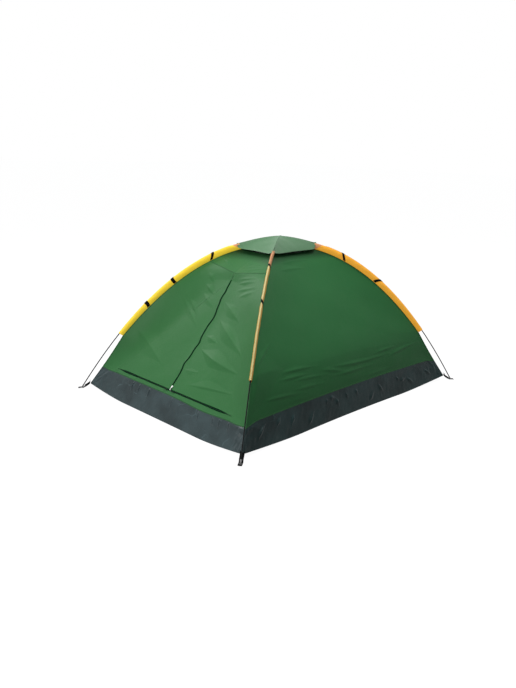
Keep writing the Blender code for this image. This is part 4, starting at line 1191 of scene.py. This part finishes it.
def sleeve_surface(name, runs, angles, grow=0.0, lean=0.0, tilt=0.0):
    """Points of a sleeve over (run, angle).

    Bands pinch it. Towards its top end it slants to the seam, squares up again and lies flatter, so
    that it passes under the cap.
    """
    run, angle = runs[:, None], angles[None, :]
    run = run + lean * np.sin(angle) + tilt * np.cos(angle) / 2
    up, side = sleeve_ring(run, angle, grow)
    up = up * (1 - SLEEVE_PRESS * smooth(SLEEVE_PRESS_RUN - run, 0, 0.03))
    pinch = np.clip(sum(bell(run - band, 0.016) for band in BAND_RUNS[name]), 0, 1)
    phase = len(name) + BAND_RUNS[name][0] * 10
    pucker = 0.0004 * np.sin(run * 96 + phase + 2.2 * np.cos(angle)) + 0.0006 * np.sin(run * 37 + phase)
    body = smooth(up, 0.006, 0.02) * smooth(sleeve_depth(run) - up, 0.001, 0.012)
    side = side * (1.12 - 0.30 * pinch) + pucker * body * (1 - pinch)
    slant = SLEEVE_TOP_SLANT * (1 - up / sleeve_depth(run)) * smooth(SLEEVE_TOP_RUN + 0.05 - run, 0, 0.05)
    slant = slant * np.clip((run - SLEEVE_SLANT_START) / (SLEEVE_TOP_RUN - SLEEVE_SLANT_START), 0, 1)
    place, height = sleeve_point(run - slant, up)
    return leg_points(LEGS[name], place, height, side)


def sleeve_cloth(name, crest):
    """The sleeve's dye in each leg's own copy, lighter or darker as light falls: painted light and shade,
    also along the crest, and a painted glow.
    """
    colour = SLEEVE_LIGHT_AND_SHADE_COLOURS[name]
    made = Finish("sleeve_cloth_" + name, colour, 0.5, 0.3)
    u, v = made.uv()
    off = made.maths("ABSOLUTE", made.maths("SUBTRACT", v, crest))
    off = made.maths("ADD", off, made.maths("MULTIPLY", made.noise(60), 0.003))
    # Painted highlight and shade along the crest, by leg.
    mixed = made.tint(made.ramp(off, 0.0085, 0.0045), colour, SLEEVE_CREST_HIGHLIGHT_AND_SHADE[name])
    cuff = made.ramp(u, SLEEVE_CUFFS[name] + 0.004, SLEEVE_CUFFS[name] - 0.004)
    mixed = made.over(mixed, cuff, CUFF_COLOUR)
    # Painted light: the sleeve's own colour glows by emission.
    made.put("Emission Color", mixed.outputs["Result"])
    made.put("Emission Strength", SLEEVE_GLOW[name])
    made.bump(made.noise(30, 4.0, 0.55, (1, 1, 0.6)), 0.0016, 0.5)
    made.bump(made.weave(0.0011), 0.00006, 0.8)
    return made.material


def make_sleeve(name):
    """The cloth tube that holds a pole, and its bands."""
    runs = np.linspace(SLEEVE_STARTS[name], SLEEVE_FOOT_RUN, 340)
    points = sleeve_surface(name, runs, np.linspace(0, 2 * math.pi, 41))
    around = length_along(points[160])
    patches = [(points, grid_of(runs[:, None], around))]
    look = (sleeve_cloth(name, around[-1] / 2), "orange_fabric", WALL_CLOTH)
    cloth("pole_sleeve_" + name, patches, look)
    for number, band in enumerate(BAND_RUNS[name], 1):
        make_band(name, number, band)


def make_band(name, number, run):
    """A webbing loop round the sleeve, open where it is sewn to the seam."""
    runs = np.linspace(run - BAND_LENGTH / 2, run + BAND_LENGTH / 2, 9)
    angles = np.linspace(0.17 * math.pi, 1.83 * math.pi, 49)
    lean, tilt = BAND_LEAN.get((name, number), 0.0), BAND_TILT.get((name, number), 0.0)
    points = sleeve_surface(name, runs, angles, BAND_THICKNESS, lean, tilt)
    uv = grid_of(length_along(points[4]), runs[:, None])
    node = f"sleeve_band_{name}_{number}"
    strip(node, [(points, uv)], BAND_LOOK, [node], inward=False)


def arch_table(side):
    """Distance along a pole against run and height, from one foot to the other."""
    foot = STRAP_LIE + STRAP_THICKNESS + EYELET_FLANGE + TIP_SHOULDER_LENGTH
    end = ARCH_HALF_SPAN * (1 - foot / ARCH_HEIGHT) ** (1 / ARCH_POWER)
    runs = np.linspace(-end, end, 1601)
    heights = arch(runs, side)
    return runs, heights, length_along(np.stack((runs, heights), axis=1))


def rod_piece(name, leg, table, places, radii, material, node):
    """A rod or ferrule: circles of a radius for each place along the pole's line."""
    runs, heights, lengths = table
    run = np.interp(places, lengths, runs)
    line = leg_points(leg, run, np.interp(run, runs, heights))
    out, up = arch_normal(run)
    upward = leg_points(leg, np.sign(run) * out, up)
    sideways = leg_points(leg, 0.0, 0.0, 1.0)
    angle = np.linspace(0, 2 * math.pi, 21)
    circle = sideways * np.cos(angle)[:, None, None] + upward * np.sin(angle)[:, None, None]
    points = np.swapaxes(line + circle * radii[:, None], 0, 1)
    uv = grid_of(places[:, None], angle * POLE_RADIUS)
    made = make_piece(name, [(points, uv)], material, "volume", sharp=40)
    settle(made, [node])


# Half of a ferrule: steps from its end to its middle, and the radius at each
FERRULE_STEPS = np.array((0, 0, 0.0008, 0.003, 0.004, 0.018, 0.032))
FERRULE_RADII = FERRULE_RADIUS * np.array((0, 0.95, 1, 1, 0.93, 0.93, 0.93))
FERRULE_RADII[0] = POLE_RADIUS


def make_pole(letter, leg, side):
    """Rods that plug into metal ferrules; each ferrule belongs to the rod before it."""
    table = arch_table(side)
    step = table[2][-1] / POLE_SECTIONS
    for number in range(1, POLE_SECTIONS + 1):
        start = step * (number - 1) + SECTION_GAP / 2
        end = step * number - SECTION_GAP / 2
        places = np.concatenate(([start, start], np.linspace(start, end, 40), [end, end]))
        places[[2, -3]] = start + 0.0006, end - 0.0006
        radii = np.full(len(places), POLE_RADIUS)
        radii[[0, -1]] = 0
        radii[[1, -2]] = POLE_RADIUS * 0.92
        node = f"pole_{letter}_section_{number}"
        rod = f"pole_{letter}_rod_{number}"
        rod_piece(rod, leg, table, places, radii, FIBREGLASS, node)
        if number < POLE_SECTIONS:
            away = FERRULE_LENGTH / 2 - FERRULE_STEPS
            places = step * number + np.concatenate((-away, away[::-1]))
            radii = np.concatenate((FERRULE_RADII, FERRULE_RADII[::-1]))
            ferrule = f"pole_{letter}_ferrule_{number}"
            rod_piece(ferrule, leg, table, places, radii, FERRULE_STEEL, node)


# Corner webbing, eyelets and tips

FOOT_TABLE = arch_table(0)
FOOT_RUN, FOOT_HEIGHT = float(FOOT_TABLE[0][-1]), float(FOOT_TABLE[1][-1])
FOOT_NORMAL = arch_normal(FOOT_RUN)
FOOT_WAY = (float(FOOT_NORMAL[1]), -float(FOOT_NORMAL[0]))

# The eyelet sits where the pole's line passes the strap
HOLE_RUN = FOOT_RUN + (FOOT_HEIGHT - STRAP_LIE) / -FOOT_WAY[1] * FOOT_WAY[0]


def lathe(name, profile, origin, axis, leg, steps=36):
    """A profile of (radius, height) turned about an axis."""
    profile = np.array(profile)
    sideways = leg_points(leg, 0.0, 0.0, 1.0)
    angle = np.linspace(0, 2 * math.pi, steps + 1)
    spoke = sideways * np.cos(angle)[:, None] + np.cross(axis, sideways) * np.sin(angle)[:, None]
    points = origin + profile[:, None, :1] * spoke + profile[:, None, 1:] * axis
    uv = grid_of(length_along(profile)[:, None], angle * 0.005)
    made = make_piece(name, [(points, uv)], DULL_STEEL, "volume", sharp=35)
    settle(made, [name])


def make_strap(name, leg):
    """Webbing from the corner seam down to the ground and out under the pole, its edges curled up.

    The path of knots is rounded by a running mean with a bell curve's weights. The curl rises with
    the square of the distance from the middle, up to where the strap lies flat.
    """
    top_run = seam_run(CORNER_LIFT) + 0.0016
    path = np.array(
        (
            (top_run, CORNER_LIFT + STRAP_TUCK),
            (top_run + 0.003, CORNER_LIFT - 0.004),
            (top_run + 0.016, STRAP_LIE + 0.014),
            (top_run + 0.032, STRAP_LIE + 0.003),
            (HOLE_RUN - EYELET_RADIUS * 1.6, STRAP_LIE),
            (HOLE_RUN + EYELET_RADIUS, STRAP_LIE),
            (HOLE_RUN + STRAP_TAIL, STRAP_LIE - 0.002),
        )
    )
    knots = length_along(path)
    along = np.linspace(0, knots[-1], 60)
    run, height = np.interp(along, knots, path[:, 0]), np.interp(along, knots, path[:, 1])
    weights = bell(np.arange(-6, 7), 3.0)
    weights /= weights.sum()
    run[6:-6] = np.convolve(run, weights, "valid")
    height[6:-6] = np.convolve(height, weights, "valid")
    across = np.linspace(-0.5, 0.5, 13)
    narrow = 1 - 0.12 * smooth(along, knots[-1] - 0.006, knots[-1])
    curl = 0.0006 + STRAP_CURL * smooth(knots[4] - along, 0, STRAP_CURL_END)
    cup = curl[:, None] * (2 * across) ** 2
    sideways = -across * STRAP_WIDTH * narrow[:, None]
    points = leg_points(leg, run[:, None], height[:, None] + cup, sideways)
    uv = grid_of(along[:, None], across * STRAP_WIDTH)
    node = "corner_strap_" + name
    strip(node, [(points, uv)], STRAP_LOOK, [node], inward=False)


def make_eyelet(name, leg):
    """A rolled flange over the strap, a tube through it and a washer below."""
    inner, outer, washer = EYELET_BORE_RADIUS, EYELET_RADIUS, EYELET_RADIUS * 0.8
    top, low = STRAP_LIE + STRAP_THICKNESS + 0.0003, STRAP_LIE - 0.0003
    rise = EYELET_FLANGE
    profile = (
        (inner, top + rise * 0.6),
        (inner + 0.0006, top + rise),
        (inner + 0.0018, top + rise),
        (outer - 0.0006, top + rise * 0.55),
        (outer, top + rise * 0.3),
        (outer, top),
        (inner + 0.0007, top),
        (inner + 0.0007, low),
        (washer, low),
        (washer, low - rise * 0.8),
        (inner + 0.0006, low - rise),
        (inner, low - rise * 0.7),
        (inner, top + rise * 0.6),
    )
    upright = np.array((0.0, 0.0, 1.0))
    lathe("eyelet_" + name, profile, leg_points(leg, HOLE_RUN, 0.0), upright, leg, 40)


def make_tip(name, leg):
    """The pole's metal end: a grooved shoulder and a pin that stands in the eyelet."""
    wide, pin = TIP_SHOULDER_RADIUS, TIP_PIN_RADIUS
    shoulder = -TIP_SHOULDER_LENGTH
    bottom = -(FOOT_HEIGHT - TIP_LIFT) / -FOOT_WAY[1] + pin * 1.2
    profile = (
        (0, -SECTION_GAP),
        (wide * 0.85, -SECTION_GAP),
        (wide, -0.0016),
        (wide, -0.0060),
        (wide * 0.9, -0.0066),
        (wide * 0.9, -0.0076),
        (wide * 0.98, -0.0082),
        (wide * 0.8, shoulder),
        (pin, shoulder - 0.001),
        (pin, bottom + pin),
        (pin * 0.7, bottom + pin * 0.3),
        (0, bottom),
    )
    axis = leg_points(leg, -FOOT_WAY[0], -FOOT_WAY[1])
    lathe("pole_tip_" + name, profile, leg_points(leg, FOOT_RUN, FOOT_HEIGHT), axis, leg)


# Zips


def zip_width(path):
    """The tape's bare width: most of it near the ends of the hem, and then a taper to a point."""
    away = np.abs(path[:, 0])
    # Near the ends of the hem the dark tape is wider: partly real tape, partly painted shade of the folds
    # there.
    return ZIP_WIDTH * (0.55 + 0.20 * smooth(away, 0.28, 0.44)) * (1 - smooth(away, 0.44, 0.565))


def make_zip_half(name, path, way, places, flap=None):
    """A zip's tape beside a path of (across, up), as wide as zip_width says towards way."""
    inset = np.linspace(0, 1, 6) * zip_width(path)[:, None]
    spot = path[:, None, :] + way[:, None, :] * inset[..., None]
    points = on_door_cloth(spot[..., 0], spot[..., 1], ZIP_LIFT)
    uv = grid_of(places[:, None], np.linspace(0, ZIP_WIDTH, 6))
    strip(name, [(points, uv)], ZIP_LOOK, [name], flap)


def make_zip_teeth(name, path, way, phase, flap=None):
    """The coil's edge: a half-round bead whose radius beats once for each tooth."""
    length = length_along(path)
    places = np.linspace(0, length[-1], int(length[-1] / TEETH_PITCH * 4))
    line = np.stack([np.interp(places, length, path[:, k]) for k in range(2)], axis=1)
    side = np.stack([np.interp(places, length, way[:, k]) for k in range(2)], axis=1)
    beat = np.abs(np.sin(np.pi * places / TEETH_PITCH + phase))
    radius = TEETH_RADIUS * (0.62 + 0.38 * beat)[:, None]
    angle = np.linspace(0, math.pi, 6)
    offset = TEETH_RADIUS + radius * np.cos(angle) - TEETH_OVERLAP
    spot = line[:, None, :] + side[:, None, :] * offset[..., None]
    points = on_door_cloth(spot[..., 0], spot[..., 1], TEETH_LIFT + radius * np.sin(angle))
    uv = grid_of(places[:, None], angle * TEETH_RADIUS)
    strip(name, [(points, uv)], TEETH_LOOK, (), flap)


def make_flap_zip(side):
    """The flap's half: down the upright zip and out along the hem, with the tape into the flap."""
    down = np.linspace(DOOR_RISE - ZIP_TOP_MARGIN, FLAP_GAP, 450)
    out = np.linspace(FLAP_EDGE, DOOR_HALF_WIDTH - ZIP_TOP_MARGIN, 300)[1:]
    across = side * np.concatenate((np.full(len(down), FLAP_EDGE), out))
    up = np.concatenate((down, np.full(len(out), FLAP_GAP)))
    path = np.stack((across, up), axis=1)
    way = np.concatenate((np.tile((side, 0.0), (len(down), 1)), np.tile((0.0, 1.0), (len(out), 1))))
    way[len(down) - 1] = (side, 1.0)
    name = FLAP_NAMES[side]
    make_zip_half("door_zip_" + name, path, way, length_along(path), side)
    make_zip_teeth("zip_teeth_" + name, path, way, 0.0 if side < 0 else math.pi / 2, side)


def make_sill_zip():
    """The fixed half of the hem's zips, along the top of the sill, with its tape downwards."""
    across = np.linspace(-DOOR_HALF_WIDTH, DOOR_HALF_WIDTH, 560)
    path = np.stack((across, np.full_like(across, -ZIP_GAP)), axis=1)
    way = np.tile((0.0, -1.0), (len(path), 1))
    make_zip_half("sill_zip", path, way, across)
    make_zip_teeth("zip_teeth_sill", path, way, math.pi / 2)


def make_zip_top():
    """The patch behind the flaps' tips, and the end of the zip sewn over it."""
    patch, stop = (GREEN_CLOTH, "green_fabric", ZIP_END_THICKNESS), (ZIP_TAPE, "zip_tape", ZIP_END_THICKNESS)
    for name, low, half, lift, look in (
        ("zip_top_patch", FLAP_TIP_CUT + 0.004, 0.0115, 0.0007, patch),
        ("zip_top_stop", ZIP_TOP_MARGIN + 0.003, 0.0052, 0.0022, stop),
    ):
        up = DOOR_RISE - np.linspace(low, -0.001, 24)[:, None]
        across = half * np.linspace(-1, 1, 9) * (0.55 + 0.45 * smooth(DOOR_RISE - up, 0, low))
        strip(name, [(on_door_cloth(across, up, lift), grid_of(across, up))], look)


make_ground_sheet()
for tub_seed, tub_face in enumerate(("front", "back", "left", "right"), 11):
    make_tub_side(tub_face, tub_seed)
make_door_wall()
make_roof_panel()
make_plain_wall("back", END_WALL_FOLDS, 31, 170, 170)
make_plain_wall("left", LONG_WALL_FOLDS, 32, 200, 215, -1)
make_plain_wall("right", LONG_WALL_FOLDS, 33, 200, 215)
make_net()
make_cap()
make_seams()
for flap_side in (-1, 1):
    make_flap(flap_side)
    make_flap_zip(flap_side)
make_sill_zip()
make_zip_top()
make_pole("a", LEGS["rear_right"], 1)
make_pole("b", LEGS["front_right"], -1)
for leg_name, leg_way in LEGS.items():
    make_sleeve(leg_name)
    make_strap(leg_name, leg_way)
    make_eyelet(leg_name, leg_way)
    make_tip(leg_name, leg_way)
for node_name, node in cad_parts.items():
    if node.hide_render:
        continue
    material = ELASTIC if "cord" in node_name else STEEL
    if node_name.startswith("hem_zip"):
        material = DARK_METAL
    for slot in node.material_slots:
        slot.material = material


# Camera, floor and light


CAMERA_PLACE = (3.217, -3.438, 1.654)
CAMERA_ANGLES = (44.561, 16.16, 1.788)
CAMERA_LENS = 36.63
WORLD_COLOUR = (0.93, 0.97, 1.0, 1.0)
WORLD_LEVEL = 0.27
FLOOR_REACH = 40.0
FLOOR_DROP = 0.0006
FLOOR_WHITE = 0.97
LAMP_AIM = np.array((0, 0, 0.4))
LAMPS = {
    "top_light": ((1.0, 0.2, 5.3), 2.0, 132),
    "front_light": ((-0.1, -4.2, 2.6), 2.0, 86),
    "left_light": ((-4.2, -1.2, 3.6), 2.2, 86),
}


def stand(name, data, place, right, up, back):
    """Puts a camera or lamp at its place, looking against back."""
    made = bpy.data.objects.new(name, data)
    axes = Matrix(np.stack((right, up, back), axis=1).tolist()).to_4x4()
    made.matrix_world = Matrix.Translation(place) @ axes
    bpy.context.scene.collection.objects.link(made)
    return made


def make_camera():
    """The camera that was fitted to the photograph: its turn about Z, its tilt and its roll."""
    turn, tilt, roll = (math.radians(angle) for angle in CAMERA_ANGLES)
    right = np.array((math.cos(turn), math.sin(turn), 0.0))
    flat = np.array((math.sin(turn), -math.cos(turn), 0.0))
    back = flat * math.cos(tilt) + np.array((0, 0, math.sin(tilt)))
    up = np.cross(back, right)
    rolled = right * math.cos(roll) + up * math.sin(roll)
    upright = up * math.cos(roll) - right * math.sin(roll)
    data = bpy.data.cameras.new("camera")
    data.lens = CAMERA_LENS
    data.sensor_width = 36
    bpy.context.scene.camera = stand("camera", data, CAMERA_PLACE, rolled, upright, back)


def shown_or_seen_in(tree):
    """1 for rays from the camera, mirrors and glass, 0 for light on the object."""
    path = tree.nodes.new("ShaderNodeLightPath")
    seen = path.outputs["Is Camera Ray"]
    for kind in ("Is Glossy Ray", "Is Transmission Ray"):
        either = tree.nodes.new("ShaderNodeMath")
        either.operation = "MAXIMUM"
        tree.links.new(seen, either.inputs[0])
        tree.links.new(path.outputs[kind], either.inputs[1])
        seen = either.outputs[0]
    return seen


def make_world():
    """White where it is seen, and a dim cool light on the tent."""
    world = bpy.data.worlds.new("studio")
    world.use_nodes = True
    tree = world.node_tree
    light = tree.nodes["Background"]
    light.inputs["Color"].default_value = WORLD_COLOUR
    light.inputs["Strength"].default_value = WORLD_LEVEL
    white = tree.nodes.new("ShaderNodeBackground")
    white.inputs["Color"].default_value = (1, 1, 1, 1)
    mix = tree.nodes.new("ShaderNodeMixShader")
    tree.links.new(shown_or_seen_in(tree), mix.inputs["Fac"])
    tree.links.new(light.outputs[0], mix.inputs[1])
    tree.links.new(white.outputs[0], mix.inputs[2])
    tree.links.new(mix.outputs[0], tree.nodes["World Output"].inputs["Surface"])
    bpy.context.scene.world = world


def make_floor():
    """A plain pale floor that shows white and still takes the tent's shadow."""
    mesh = bpy.data.meshes.new("floor")
    square = ((-1, -1), (1, -1), (1, 1), (-1, 1))
    mesh.from_pydata([(x * FLOOR_REACH, y * FLOOR_REACH, -FLOOR_DROP) for x, y in square], [], [(0, 1, 2, 3)])
    made = bpy.data.objects.new("floor", mesh)
    bpy.context.scene.collection.objects.link(made)
    finish = Finish("pale_floor", (0.10, 0.10, 0.10), 0.9, 0.0)
    level = finish.maths("MULTIPLY", shown_or_seen_in(finish.material.node_tree), FLOOR_WHITE)
    glow = finish.node("Emission", Strength=level)
    both = finish.node("AddShader", i0=finish.shader.outputs[0], i1=glow.outputs[0])
    finish.join(both.outputs[0], finish.nodes["Material Output"].inputs["Surface"])
    mesh.materials.append(finish.material)


def make_lamp(name, place, size, power):
    """A round soft light turned towards the tent."""
    data = bpy.data.lights.new(name, "AREA")
    data.shape = "DISK"
    data.size = size
    data.energy = power
    back = unit(np.array(place) - LAMP_AIM)
    right = unit(np.cross((0, 0, 1.0), back))
    stand(name, data, place, right, np.cross(back, right), back)


make_camera()
make_world()
make_floor()
for lamp_name, lamp in LAMPS.items():
    make_lamp(lamp_name, *lamp)
bpy.context.scene.view_settings.view_transform = "Standard"
